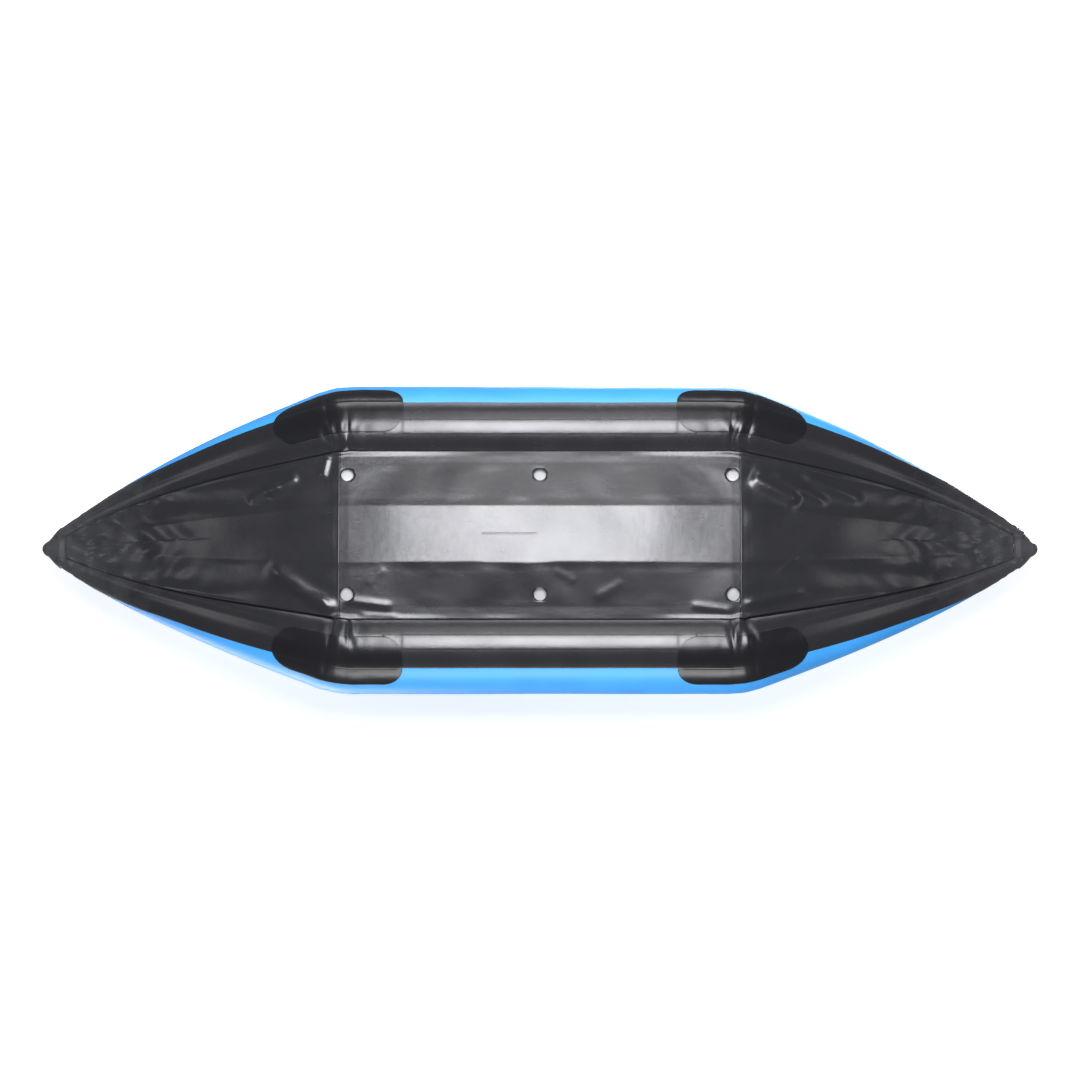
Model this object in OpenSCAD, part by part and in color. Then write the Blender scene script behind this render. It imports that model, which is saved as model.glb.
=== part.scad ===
// Double-ended, self-bailing inflatable kayak.
// +X points to the bow, +Y to port, +Z up. The origin is on the ground, under the middle of the keel face.

/* [Hull] */
// Overall length, tip to tip
hull_length = 3100; // [2700:10:3500]
// Overall width across the side tubes
hull_width = 950; // [910:10:1060]
// Diameter of the side tubes amidships
tube_d = 280; // [250:5:300]
// Length of the straight middle, bend to bend
mid_length = 1220; // [1100:10:1400]
// Diameter of each side tube where the two meet
tip_tube_d = 52; // [44:2:60]
// Rise of the tube centre line from the middle to the ends
rocker = 205; // [120:5:230]
// Width of the gusset panel sewn in at each bend
gusset_w = 48; // [30:2:70]

/* [Fabric] */
// Thickness of the tube fabric
tube_wall = 1; // [0.8:0.1:1.5]
// Thickness of the black wear panel under each tube
wear_t = 1; // [0.8:0.1:1.5]
// Thickness of patches and seam tape
patch_t = 1; // [0.8:0.1:1.5]
// Thickness of the floor skin
skin_t = 1.6; // [1.2:0.1:2.4]
// Thickness of the fabric of the floor mattress, seat and footrest
air_wall = 0.8; // [0.6:0.1:1.2]

/* [Floor] */
// Width of the flat keel face
keel_w = 164; // [120:4:200]
// How far the keel face lies below the side tubes
keel_drop = 14; // [8:1:24]
// Width of the flat strip of skin beside each tube
strip_w = 37; // [20:1:50]
// Diameter of a drain hole
drain_d = 38; // [25:1:45]
// Distance from one drain hole to the next along the hull
drain_pitch = 588; // [450:2:600]
// Distance of the drain holes from the centre line
drain_y = 184; // [160:1:190]
// Thickness of the floor mattress
mattress_t = 104; // [80:2:120]
// Length of the floor mattress
mattress_length = 1960; // [1600:10:2100]
// Air channels across the floor mattress
channels = 4; // [2:1:6]

/* [Seat] */
// Length of the seat cushion
seat_length = 340; // [280:5:380]
// Width of the seat cushion
seat_width = 330; // [280:5:350]
// Thickness of the seat cushion
seat_t = 78; // [60:2:100]
// Distance of the cushion's front edge ahead of the middle
seat_front = 20; // [-60:5:60]
// Height of the backrest
back_height = 330; // [250:5:380]
// Thickness of the backrest
back_t = 40; // [30:2:50]
// Angle at which the backrest leans back
back_lean = 12; // [5:1:20]
// Width of the seat straps
strap_w = 25; // [20:1:30]
// Diameter of the footrest
footrest_d = 140; // [110:5:170]
// Distance of the footrest ahead of the middle
footrest_x = 520; // [460:5:560]

/* [Valves] */
// Radius of the socket for the pump nozzle
socket_r = 15; // [13:0.5:17]
// Depth of that socket
socket_depth = 5; // [4:0.5:8]
// Travel of the valve poppet
poppet_travel = 4; // [2:0.5:4]
// Distance of the tube valves behind the middle
valve_x = 518; // [500:2:530]

/* [Rings and handles] */
// Wire radius of the rings
ring_wire = 2.5; // [2:0.25:3]
// Inside width of a ring
ring_w = 38; // [30:1:50]
// Distance of the cargo rings from the middle
cargo_ring_x = 400; // [330:5:420]
// Distance of the handle anchors from the hull's tip
handle_setback = 140; // [120:5:170]
// Length of the handle grip
grip_length = 84; // [70:2:90]
// Diameter of the handle grip
grip_d = 24; // [20:1:30]

/* [Hidden] */
$fn = 48;
ENDS = [["bow", 1], ["stern", -1]];
SIDES = [["port", 1], ["starboard", -1]];
VALVE_PARTS = ["base", "spring", "poppet", "cap"];
VALVES = ["port", "starboard", "floor"];

NODES = concat(
  [for (s = SIDES) str(s[0], "_tube_middle")],
  [for (s = SIDES, e = ENDS, p = ["gusset", "tube"]) str(s[0], "_", e[0], "_", p)],
  [for (s = SIDES, p = ["wear_panel", "seam_tape"]) str(s[0], "_", p)],
  [for (s = SIDES, e = ENDS) str(s[0], "_", e[0], "_patch")],
  ["floor_skin", "bow_skin", "stern_skin", "bow_tip_cap", "stern_tip_cap"],
  ["floor_mattress", "mattress_webs", "seat_cushion", "backrest", "footrest"],
  ["front_straps", "rear_straps", "strap_tabs", "ring_patches", "ring_loops", "seat_rings"],
  [for (s = SIDES, e = ENDS) str(s[0], "_", e[0], "_ring")],
  ["handle_anchors"],
  [for (e = ENDS, p = ["strap", "grip"]) str(e[0], "_handle_", p)],
  ["valve_bosses", "valve_nuts"],
  [for (v = VALVES, p = VALVE_PARTS) str(v, "_valve_", p)],
  ["seat_plugs", "backrest_plug"]
);
node = "all";

// Clearance between pieces that are welded, sewn or laid together
lay_gap = 0.3;
// Clearance that also clears the flats of a many-sided tube
weld_gap = 0.7;
tube_sides = 36;
end_rows = 12;

tube_r = tube_d / 2;
end_r = tip_tube_d / 2;
end_y = end_r + 1;
tip_reach = tip_tube_d + 8;
bend_x = mid_length / 2;
end_x = hull_length / 2 - tip_reach;
gusset_in = bend_x - gusset_w / 2;
gusset_out = bend_x + gusset_w / 2;
tube_y = hull_width / 2 - tube_r;
tube_z = keel_drop + tube_r;
layer_r = weld_gap + wear_t;

// ---------- Shape of the hull, as functions of the distance s from the middle ----------

function share(s) = (s - bend_x) / (end_x - bend_x);
function narrowing(u) = 0.72 * u + 0.28 * pow(u, 3);
function mix(a, b, t) = a + (b - a) * t;
function unit(v) = v / norm(v);

function curve_y(s) = mix(tube_y, end_y, narrowing(share(s)));
function path_y(s) = s <= gusset_in ? tube_y
  : s < gusset_out ? mix(tube_y, curve_y(gusset_out), (s - gusset_in) / gusset_w)
  : curve_y(s);
function path_z(s) = tube_z + rocker * pow(max(share(s), 0), 1.5);
function path_r(s) = mix(tube_r, end_r, max(share(s), 0));
function centre(s) = [s, path_y(s), path_z(s)];
function heading(s) = unit(centre(s + 5) - centre(s - 5));
function outward(s) = unit(cross([0, 0, 1], heading(s)));
function upward(s) = cross(heading(s), outward(s));

// A point on the port tube: angle 0 is its underside, 90 its outer side and -90 its inner side.
function on_ring(s, angle, r) = centre(s) + r * (sin(angle) * outward(s) - cos(angle) * upward(s));

// Angles of the welds on the tube
function weld_angle(s) = -32 + 27 * pow(max(share(s), 0), 2.5);
function wear_edge(s) =
  let (u = max(share(s), 0)) 34 + 24 * u + (u > 0.5 ? 260 * pow(u - 0.5, 2) : 0);
wear_inner = -62;

rows_end = [for (i = [0 : end_rows]) mix(gusset_out, end_x, i / end_rows)];
rows_half = concat([gusset_in], rows_end);
rows_all = concat([for (i = [len(rows_half) - 1 : -1 : 0]) -rows_half[i]], rows_half);

// ---------- Solids from rows of points ----------

// Faces round rows of n points. The first rows, as many as turned says, have their diagonals the
// other way, as a mirrored neighbour has.
function grid_faces(rows, n, flip = false, first = 0, turned = 0) = [
  for (i = [0 : rows - 2], j = [0 : n - 1])
    let (a = first + i * n + j, b = first + i * n + (j + 1) % n, c = a + n, d = b + n)
      each flip ? [[a, b, d], [a, d, c]]
        : i < turned ? [[a, c, b], [b, c, d]]
        : [[a, d, b], [a, c, d]]
];
function flat(rows) = [for (row = rows) each row];
function reversed(list) = [for (i = [len(list) - 1 : -1 : 0]) list[i]];

// A closed solid through rings of points
module loft(rings) {
  n = len(rings[0]);
  m = len(rings);
  polyhedron(flat(rings), concat(
    grid_faces(m, n),
    [for (j = [1 : n - 2]) [0, j, j + 1]],
    [for (j = [1 : n - 2]) [(m - 1) * n, (m - 1) * n + j + 1, (m - 1) * n + j]]
  ));
}

// An open pipe between outer and inner rings
module pipe(outer, inner) {
  n = len(outer[0]);
  m = len(outer);
  k = m * n;
  polyhedron(concat(flat(outer), flat(inner)), concat(
    grid_faces(m, n),
    grid_faces(m, n, true, k),
    [for (j = [0 : n - 1]) let (b = (j + 1) % n) each [[j, b, k + b], [j, k + b, k + j]]],
    [for (j = [0 : n - 1])
      let (a = (m - 1) * n + j, b = (m - 1) * n + (j + 1) % n)
        each [[a, k + b, b], [a, k + a, k + b]]]
  ));
}

// A sheet between lower and upper rows
module sheet(lower, upper, turned = 0) {
  n = len(lower[0]);
  m = len(lower);
  points = flat([for (i = [0 : m - 1]) concat(lower[i], reversed(upper[i]))]);
  last = (m - 1) * 2 * n;
  polyhedron(points, concat(
    grid_faces(m, 2 * n, turned = turned),
    [for (j = [0 : n - 2]) each let (b = 2 * n - 1 - j) [[j, j + 1, b - 1], [j, b - 1, b]]],
    [for (j = [0 : n - 2]) each let (a = last + j, b = last + 2 * n - 1 - j) [[a, b - 1, a + 1], [a, b, b - 1]]]
  ));
}

function tube_ring(s, r) =
  [for (k = [0 : tube_sides - 1]) on_ring(s, 360 * k / tube_sides, r)];

module tube_panel(stations) {
  pipe(
    [for (s = stations) tube_ring(s, path_r(s))],
    [for (s = stations) tube_ring(s, path_r(s) - tube_wall)]
  );
}

// A layer on the tube's underside, from angle function low to high
module tube_layer(stations, angles, inner, thick) {
  sheet(
    [for (i = [0 : len(stations) - 1]) layer_row(stations[i], angles[i], inner + thick)],
    [for (i = [0 : len(stations) - 1]) layer_row(stations[i], angles[i], inner)],
    len([for (s = stations) if (s < 0) s])
  );
}
function layer_row(s, angles, lift) = [
  for (a = angles)
    let (p = on_ring(abs(s), a, path_r(abs(s)) + lift)) [s < 0 ? -p[0] : p[0], p[1], p[2]]
];
function spread(low, high, count) = [for (i = [0 : count]) mix(low, high, i / count)];

module place(end, side) {
  mirror([end < 0 ? 1 : 0, 0, 0]) mirror([0, side < 0 ? 1 : 0, 0]) children();
}

// Children with +Z along the port tube's outward normal, and +X along the tube
module on_tube(x, angle, lift = 0) {
  translate([x, tube_y, tube_z]) rotate([angle + 180, 0, 0]) translate([0, 0, tube_r + lift]) children();
}

// ---------- Side tubes ----------

module tube_middle() {
  color("dodgerblue") difference() {
    pipe(
      [for (s = [-gusset_in, gusset_in]) mirrored_ring(s, tube_r)],
      [for (s = [-gusset_in, gusset_in]) mirrored_ring(s, tube_r - tube_wall)]
    );
    on_tube(-valve_x, valve_angle) cylinder(r = neck_r + lay_gap, h = 4 * tube_wall + 12, center = true);
  }
}
function mirrored_ring(s, r) =
  [for (p = tube_ring(abs(s), r)) [s < 0 ? -p[0] : p[0], p[1], p[2]]];

module gusset() {
  color("dodgerblue") tube_panel([gusset_in, gusset_out]);
}

module tube_end() {
  color("dodgerblue") tube_panel(rows_end);
}

module wear_panel() {
  rows = [for (s = rows_all) spread(wear_inner, wear_edge(abs(s)), 12)];
  color("black") tube_layer(rows_all, rows, weld_gap, wear_t);
}

// Seam tape along the crown of the wear panel, which ends where the patches begin
module seam_tape() {
  reach = patch_start - 4;
  color("black") tube_layer([-reach, reach], [spread(-11.5, 8, 3), spread(-11.5, 8, 3)],
    layer_r + weld_gap, patch_t);
}

// Reinforcement patch round the outside of a bend
patch_lift = layer_r + weld_gap + lay_gap;
patch_start = bend_x - 178;
patch_end = rows_end[2] + 37;
module bend_patch() {
  bounds = [patch_start, patch_start + 14, patch_start + 45, gusset_in, gusset_out, rows_end[1], rows_end[2],
    patch_end - 12, patch_end];
  round_in = [0.45, 0.75, 0.95, 1, 1, 0.98, 0.86, 0.7, 0.45];
  rows = [for (i = [0 : len(bounds) - 1]) spread(mix(18, -14, round_in[i]), mix(22, 60, round_in[i]), 8)];
  color("black") tube_layer(bounds, rows, patch_lift, patch_t);
}

// ---------- Floor skin ----------

// Half-section of the skin's underside at x, from the centre line to the weld on the port tube
function plan_stretch(s) = 1 / cos(atan2(path_y(s - 5) - path_y(s + 5), 10));
function rise_stretch(s) = 1 / cos(atan2(path_z(s + 5) - path_z(s - 5), 10));
skin_lift = layer_r + lay_gap;
function weld_y(s, lift = skin_lift) =
  path_y(s) + (path_r(s) + lift) * plan_stretch(s) * sin(weld_angle(s));
function weld_z(s, lift = skin_lift) =
  path_z(s) - (path_r(s) + lift) * rise_stretch(s) * cos(weld_angle(s));
keel_depth = weld_z(0) - skin_t;
function narrow(s) = weld_y(s) / weld_y(0);
function keel_z(s) = weld_z(s) - skin_t - keel_depth * narrow(s);
function keel_y(s) = keel_w / 2 * narrow(s);
function strip_y(s) = weld_y(s) - strip_w * narrow(s);
function skin_half(s, up, lift = skin_lift) = [
  [0, keel_z(s) + up],
  [keel_y(s), keel_z(s) + up],
  [strip_y(s), weld_z(s, lift) - skin_t + up],
  [weld_y(s, lift), weld_z(s, lift) - skin_t + up]
];
function skin_section(s, up, lift = skin_lift) =
  let (half = skin_half(s, up, lift))
    concat([for (i = [3 : -1 : 1]) [-half[i][0], half[i][1]]], half);

module floor_skin() {
  section = concat(skin_section(0, 0), reversed(skin_section(0, skin_t)));
  color("black") difference() {
    translate([-bend_x, 0, 0]) rotate([90, 0, 90]) linear_extrude(mid_length) polygon(section);
    for (x = [-drain_pitch, 0, drain_pitch], y = [-drain_y, drain_y])
      translate([x, y, 0]) cylinder(d = drain_d, h = 4 * keel_depth, center = true);
  }
}

// The skin runs under the tubes to just short of the tip cap.
skin_end = end_x - 28;
end_skin_lift = skin_lift + 3;
module end_skin() {
  stations = [for (i = [0 : end_rows]) mix(bend_x + lay_gap, skin_end, i / end_rows)];
  color("black") sheet(
    [for (s = stations) [for (p = skin_section(s, 0, end_skin_lift)) [s, p[0], p[1]]]],
    [for (s = stations) [for (p = skin_section(s, skin_t, end_skin_lift)) [s, p[0], p[1]]]]
  );
}

// Cap welded over the two tube ends
cap_cover = 22;
module tip_cap() {
  tip = centre(end_x) + [tip_reach - 12, -end_y, 12];
  back = centre(end_x - cap_cover);
  color("black") difference() {
    hull() {
      translate(tip) sphere(r = 12, $fn = 24);
      for (side = [-1, 1]) {
        translate([end_x, side * end_y, path_z(end_x)]) sphere(r = end_r + 3.4, $fn = 32);
        translate([back[0], side * back[1], back[2]])
          rotate([0, 90, 0]) cylinder(r = path_r(back[0]) + 3.4, h = 1, $fn = 32);
      }
    }
    for (side = [-1, 1]) mirror([0, side < 0 ? 1 : 0, 0])
      loft([for (s = [end_x - 3 * cap_cover, end_x + lay_gap]) tube_ring(s, path_r(s) + 2.2)]);
  }
}

// ---------- Floor mattress ----------

mattress_gap = 6;
// The mattress leaves this much of the skin free on the inner side of the drain holes.
drain_margin = 25;
// Inner side of the tube at height z, seen in the cross-section at s
function inner_y(s, z) =
  let (dz = (z - path_z(s)) / rise_stretch(s), r = path_r(s) + layer_r + mattress_gap)
    path_y(s) - plan_stretch(s) * sqrt(max(r * r - dz * dz, 0));
function mattress_top(s) = keel_z(s) + skin_t + lay_gap + mattress_t * (1 - 0.3 * pow(2 * s / mattress_length, 2));
function flank_z(s, y) =
  mix(keel_z(s), weld_z(s) - skin_t, max(0, (y - keel_y(s)) / (strip_y(s) - keel_y(s))));
function mattress_half(s, wall) =
  let (
    low = keel_z(s) + skin_t + lay_gap + wall,
    top = mattress_top(s) - wall,
    side = mix(low, top, 0.55),
    foot = (drain_y - drain_d / 2 - drain_margin) * narrow(s)
  )
  [
    [keel_y(s) - wall, low],
    [foot, flank_z(s, foot) + skin_t + 2 * lay_gap + wall],
    [inner_y(s, side) - wall, side],
    [inner_y(s, top) - wall - 4, mix(low, top, 0.88)],
    [inner_y(s, top) - wall - 22, top]
  ];
function mattress_ring(x, wall) =
  let (half = mattress_half(abs(x), wall))
    concat([for (p = half) [x, p[0], p[1]]], [for (p = reversed(half)) [x, -p[0], p[1]]]);
mattress_step = mattress_length / 16;
mattress_rows = [for (i = [-8 : 8]) i * mattress_step];

module floor_mattress() {
  inner_rows = [for (x = mattress_rows) x * (1 - 2 * air_wall / mattress_length)];
  color("lightgray") difference() {
    loft([for (x = mattress_rows) mattress_ring(x, 0)]);
    loft([for (x = inner_rows) mattress_ring(x, air_wall)]);
    floor_valve_place() cylinder(r = neck_r + lay_gap, h = 20, center = true);
  }
}

// Fabric webs that hold the mattress flat, one between each pair of air channels
// Inner side of the mattress's underside at y
function mattress_floor(s, y) =
  let (half = mattress_half(s, air_wall), foot = half[1], side = half[2])
    y <= foot[0] ? flank_z(s, y) + skin_t + 2 * lay_gap + air_wall
      : mix(foot[1], side[1], (y - foot[0]) / (side[0] - foot[0]));

module mattress_webs() {
  web_length = mid_length * 0.8;
  top = mattress_top(web_length / 2) - air_wall - lay_gap;
  pitch = 2 * inner_y(0, mattress_top(0)) / channels;
  color("gray") for (i = [1 : channels - 1]) {
    y = (i - channels / 2) * pitch;
    foot = mattress_floor(0, abs(y) + air_wall / 2) + lay_gap;
    translate([-web_length / 2, y - air_wall / 2, foot])
      cube([web_length, air_wall, top - foot]);
  }
}

// ---------- Seat and footrest ----------

seat_z = mattress_top(0) + lay_gap;
seat_mid = seat_front - seat_length / 2;
seat_top = seat_z + seat_t;
back_r = back_t / 2;
hinge_x = seat_front - seat_length + back_r + 4;
hinge_z = seat_top + lay_gap + back_r;
plug_r = 6;

module rounded_plate(size, r) {
  for (inset = [[r, 0], [0, r]])
    translate([inset[0] - size[0] / 2, inset[1] - size[1] / 2]) square([size[0] - 2 * inset[0], size[1] - 2 * inset[1]]);
  for (x = [-1, 1], y = [-1, 1])
    translate([x * (size[0] / 2 - r), y * (size[1] / 2 - r)]) circle(r);
}

module seat_cushion() {
  color("dimgray") translate([seat_mid, 0, seat_z]) difference() {
    linear_extrude(seat_t) rounded_plate([seat_length, seat_width], 45);
    translate([0, 0, air_wall]) linear_extrude(seat_t - 2 * air_wall)
      rounded_plate([seat_length - 2 * air_wall, seat_width - 2 * air_wall], 45 - air_wall);
    translate([seat_length / 2, seat_width / 4, seat_t / 2])
      rotate([0, 90, 0]) cylinder(r = plug_r + lay_gap, h = 20, center = true);
  }
}

// The backrest's own frame: the origin is on its hinge axis, and +Z runs up the backrest.
module back_place() {
  translate([hinge_x, 0, hinge_z]) rotate([0, -back_lean, 0]) children();
}

module back_profile(r, height) {
  circle(r);
  translate([0, height]) circle(r);
  translate([-r, 0]) square([2 * r, height]);
}

back_width = seat_width - 10;
back_rise = back_height - back_t;
// Place of the backrest's air plug, on its rear face
module back_plug_place() {
  back_place() translate([-back_r, back_width / 4, back_rise * 0.75]) rotate([0, -90, 0]) children();
}
module backrest() {
  color("dimgray") difference() {
    back_place() rotate([90, 0, 0]) linear_extrude(back_width, center = true)
      back_profile(back_r, back_rise);
    back_place() rotate([90, 0, 0]) linear_extrude(back_width - 2 * air_wall, center = true)
      back_profile(back_r - air_wall, back_rise);
    back_plug_place() cylinder(r = plug_r + lay_gap, h = 20, center = true);
  }
}

footrest_r = footrest_d / 2;
footrest_z = mattress_top(footrest_x - footrest_r / 4) + lay_gap + footrest_r;
footrest_w = 2 * inner_y(footrest_x, footrest_z) - 16;
module footrest() {
  color("dimgray") translate([footrest_x, 0, footrest_z]) difference() {
    rotate([90, 0, 0]) cylinder(r = footrest_r, h = footrest_w, center = true);
    rotate([90, 0, 0]) cylinder(r = footrest_r - air_wall, h = footrest_w - 2 * air_wall, center = true);
    translate([footrest_r, footrest_w / 4, 0])
      rotate([0, 90, 0]) cylinder(r = plug_r + lay_gap, h = 20, center = true);
  }
}

// Small mouth valve: a stem through the fabric, a flange outside and a barbed end inside
module air_plug() {
  translate([0, 0, -9]) cylinder(r = plug_r, h = 18);
  translate([0, 0, lay_gap]) cylinder(r = 12, h = 2);
  translate([0, 0, 9]) cylinder(r = 8, h = 6);
}

module seat_plugs() {
  color("black") {
    translate([seat_front, seat_width / 4, seat_z + seat_t / 2]) rotate([0, 90, 0]) air_plug();
    translate([footrest_x + footrest_r, footrest_w / 4, footrest_z]) rotate([0, 90, 0]) air_plug();
  }
}

module backrest_plug() {
  color("black") back_plug_place() air_plug();
}

// ---------- Rings ----------

loop_t = 1.5;
ring_z = patch_t + loop_t + ring_wire + 3 * lay_gap;
ring_neck = 6;
ring_bend = ring_w / 2 + ring_wire;
// At rest a ring lies on its patch.
ring_tilt = 7;
seat_ring_front = 190;
seat_ring_rear = hinge_x - 130;
seat_ring_angle = -128;

module ring() {
  rotate([ring_tilt, 0, 0]) {
    rotate([0, 90, 0]) cylinder(r = ring_wire, h = 2 * ring_bend, center = true);
    for (x = [-ring_bend, ring_bend]) {
      translate([x, 0, 0]) sphere(r = ring_wire);
      translate([x, -ring_neck, 0]) rotate([-90, 0, 0]) cylinder(r = ring_wire, h = ring_neck);
    }
    translate([0, -ring_neck, 0]) rotate([0, 0, 180]) rotate_extrude(angle = 180)
      translate([ring_bend, 0]) circle(ring_wire);
  }
}

// Webbing folded round the ring's bar and sewn to the patch
module ring_loop() {
  inner = ring_wire + lay_gap;
  difference() {
    union() {
      rotate([0, 90, 0]) cylinder(r = inner + loop_t, h = ring_w - 8, center = true);
      translate([-(ring_w - 8) / 2, 0, -inner - loop_t]) cube([ring_w - 8, 26, loop_t]);
    }
    rotate([0, 90, 0]) cylinder(r = inner, h = ring_w, center = true);
  }
}

module ring_patch(radius) {
  intersection() {
    translate([0, 0, -radius]) cylinder(r = radius, h = 2 * radius);
    translate([0, 0, -tube_r]) rotate([0, 90, 0]) difference() {
      cylinder(r = tube_r + lay_gap + patch_t, h = 2 * radius, center = true);
      cylinder(r = tube_r + lay_gap, h = 3 * radius, center = true);
    }
  }
}

module every_ring() {
  for (x = [-cargo_ring_x, cargo_ring_x], side = [-1, 1])
    place(1, side) on_tube(x, 180) children();
  for (x = [seat_ring_rear, seat_ring_front], side = [-1, 1])
    place(1, side) on_tube(x, seat_ring_angle) children();
}

module ring_patches() {
  color("black") every_ring() ring_patch(38);
}

module ring_loops() {
  color("black") every_ring() translate([0, 0, ring_z]) ring_loop();
}

module seat_rings() {
  color("silver") for (x = [seat_ring_rear, seat_ring_front], side = [-1, 1])
    place(1, side) on_tube(x, seat_ring_angle) translate([0, 0, ring_z]) ring();
}

module cargo_ring(end, side) {
  color("silver") place(1, side) on_tube(end * cargo_ring_x, 180) translate([0, 0, ring_z]) ring();
}

// ---------- Seat straps ----------

strap_t = 1.6;
tab_height = back_height * 0.62;
tab_y = back_width / 2 + lay_gap;
tab_t = 4;

// Anchor tabs sewn to the sides of the backrest
module strap_tabs() {
  color("black") back_place() for (side = [-1, 1]) mirror([0, side < 0 ? 1 : 0, 0]) difference() {
    translate([-14, tab_y, tab_height - 14]) cube([28, tab_t, 28]);
    translate([-9, tab_y - 1, tab_height - 3]) cube([18, tab_t + 2, 6]);
  }
}

function back_point(x, y, z) = [
  hinge_x + x * cos(back_lean) - z * sin(back_lean), y, hinge_z + x * sin(back_lean) + z * cos(back_lean)
];
// Middle of the curved side of a seat ring
function ring_point(x) =
  let (a = seat_ring_angle, r = tube_r + ring_z, down = ring_neck + ring_bend, t = a + ring_tilt)
    [x, tube_y + r * sin(a) + down * cos(t), tube_z - r * cos(a) + down * sin(t)];

// A flat strap from a to b that faces the side as squarely as it can
module strap(a, b) {
  along = unit(b - a);
  face = unit([0, 1, 0] - along[1] * along);
  across = cross(along, face);
  multmatrix([for (i = [0 : 2]) [along[i], face[i], across[i], a[i]]])
    translate([0, -strap_t / 2, -strap_w / 2]) cube([norm(b - a), strap_t, strap_w]);
}

module strap_pair(ring_x, reach) {
  from = back_point(reach * 13, tab_y + tab_t + 2 * lay_gap + strap_t / 2, tab_height);
  to = ring_point(ring_x) - [0, ring_wire + 2 * lay_gap + strap_t / 2, 0];
  color("black") for (side = [-1, 1]) place(1, side) strap(from, to);
}
module front_straps() {
  strap_pair(seat_ring_front, 1);
}
module rear_straps() {
  strap_pair(seat_ring_rear, -1);
}

// ---------- Valves ----------

neck_r = socket_r + 5;
flange_r = socket_r + 15;
boss_top = 2.3;
flange_t = socket_depth - 1;
flange_top = boss_top + lay_gap + flange_t;
bore_r = socket_r - 1.5;
neck_end = -16;
hub_z = -12;
nut_z = -11;
stem_r = 3;
button_top = flange_top - socket_depth - 0.8;
cap_hinge_x = flange_r - 1;
cap_hinge_z = flange_top + 3.2;
cap_r = socket_r + 7;
valve_angle = -140;

// The floor valve sits in the middle of a flat stretch near the stern end of the mattress.
floor_valve_x = 6.5 * mattress_step;
module floor_valve_place() {
  near = mattress_top(6 * mattress_step);
  far = mattress_top(7 * mattress_step);
  translate([-floor_valve_x, 0, (near + far) / 2])
    rotate([0, atan2(far - near, mattress_step), 0]) children();
}

// Rubber boss that gives the rigid valve a flat seat on the fabric
module valve_boss(on_round) {
  color("black") difference() {
    translate([0, 0, on_round ? -6 : lay_gap]) cylinder(r = flange_r + 4, h = on_round ? boss_top + 6 : boss_top - lay_gap);
    if (on_round) translate([0, 0, -tube_r]) rotate([0, 90, 0])
      cylinder(r = tube_r + lay_gap, h = 3 * flange_r, center = true, $fn = 360);
    translate([0, 0, -10]) cylinder(r = neck_r + lay_gap, h = 20);
  }
}

// Three spokes and a hub, which guide the poppet's stem
module valve_web() {
  translate([0, 0, hub_z]) linear_extrude(3) difference() {
    union() {
      circle(6);
      for (a = [30, 150, 270]) rotate(a) translate([4, -1.5]) square([bore_r - 3, 3]);
    }
    circle(stem_r + 0.1);
  }
}

module valve_base() {
  color("black") {
    difference() {
      union() {
        translate([0, 0, boss_top + lay_gap]) cylinder(r = flange_r, h = flange_t);
        translate([0, 0, neck_end]) cylinder(r = neck_r, h = boss_top + 1 - neck_end);
        for (y = [-8, 5]) {
          translate([cap_hinge_x, y, cap_hinge_z]) rotate([-90, 0, 0]) cylinder(r = 2.6, h = 3);
          translate([cap_hinge_x - 2, y, flange_top - 1]) cube([4, 3, cap_hinge_z - flange_top + 1]);
        }
        translate([cap_hinge_x, 0, cap_hinge_z]) rotate([90, 0, 0]) cylinder(r = 1.3, h = 12, center = true);
      }
      translate([0, 0, flange_top - socket_depth]) cylinder(r = socket_r, h = 2 * socket_depth);
      translate([0, 0, neck_end - 1]) cylinder(r = bore_r, h = 30);
    }
    valve_web();
  }
}

module valve_nut() {
  color("black") translate([0, 0, nut_z]) difference() {
    cylinder(r = flange_r - 3, h = 6);
    translate([0, 0, -1]) cylinder(r = neck_r + lay_gap, h = 8);
    for (a = [0 : 60 : 300]) rotate([0, 0, a]) translate([flange_r - 3, 0, -1]) cylinder(r = 3, h = 8);
  }
}

spring_wire = 0.4;
module valve_spring() {
  turns = 3;
  steps = 12;
  low = hub_z + 3 + lay_gap + spring_wire;
  high = button_top - 2 - lay_gap - spring_wire;
  color("silver") loft([for (i = [0 : turns * steps])
    let (a = 360 * i / steps, z = mix(low, high, i / (turns * steps)))
      [for (k = [0 : 5])
        let (r = 4.4 + spring_wire * cos(60 * k)) [r * cos(a), r * sin(a), z - spring_wire * sin(60 * k)]]]);
}

module valve_poppet() {
  color("silver") {
    translate([0, 0, neck_end - lay_gap - 2]) cylinder(r = bore_r + 3, h = 2);
    translate([0, 0, neck_end - lay_gap - 1]) cylinder(r = stem_r, h = button_top - neck_end);
    translate([0, 0, button_top - 2]) cylinder(r = 7, h = 2);
  }
}

module valve_cap() {
  color("black") {
    translate([0, 0, flange_top - 3]) cylinder(r = socket_r - 1, h = 4);
    translate([0, 0, flange_top + lay_gap]) cylinder(r = cap_r, h = 3.4);
    difference() {
      union() {
        translate([cap_r - 4, -4.6, flange_top + lay_gap]) cube([cap_hinge_x - cap_r + 4, 9.2, 3.4]);
        translate([cap_hinge_x, 0, cap_hinge_z]) rotate([90, 0, 0]) cylinder(r = 2.6, h = 9.2, center = true);
      }
      translate([cap_hinge_x, 0, cap_hinge_z]) rotate([90, 0, 0]) cylinder(r = 1.35, h = 20, center = true);
    }
  }
}

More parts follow.
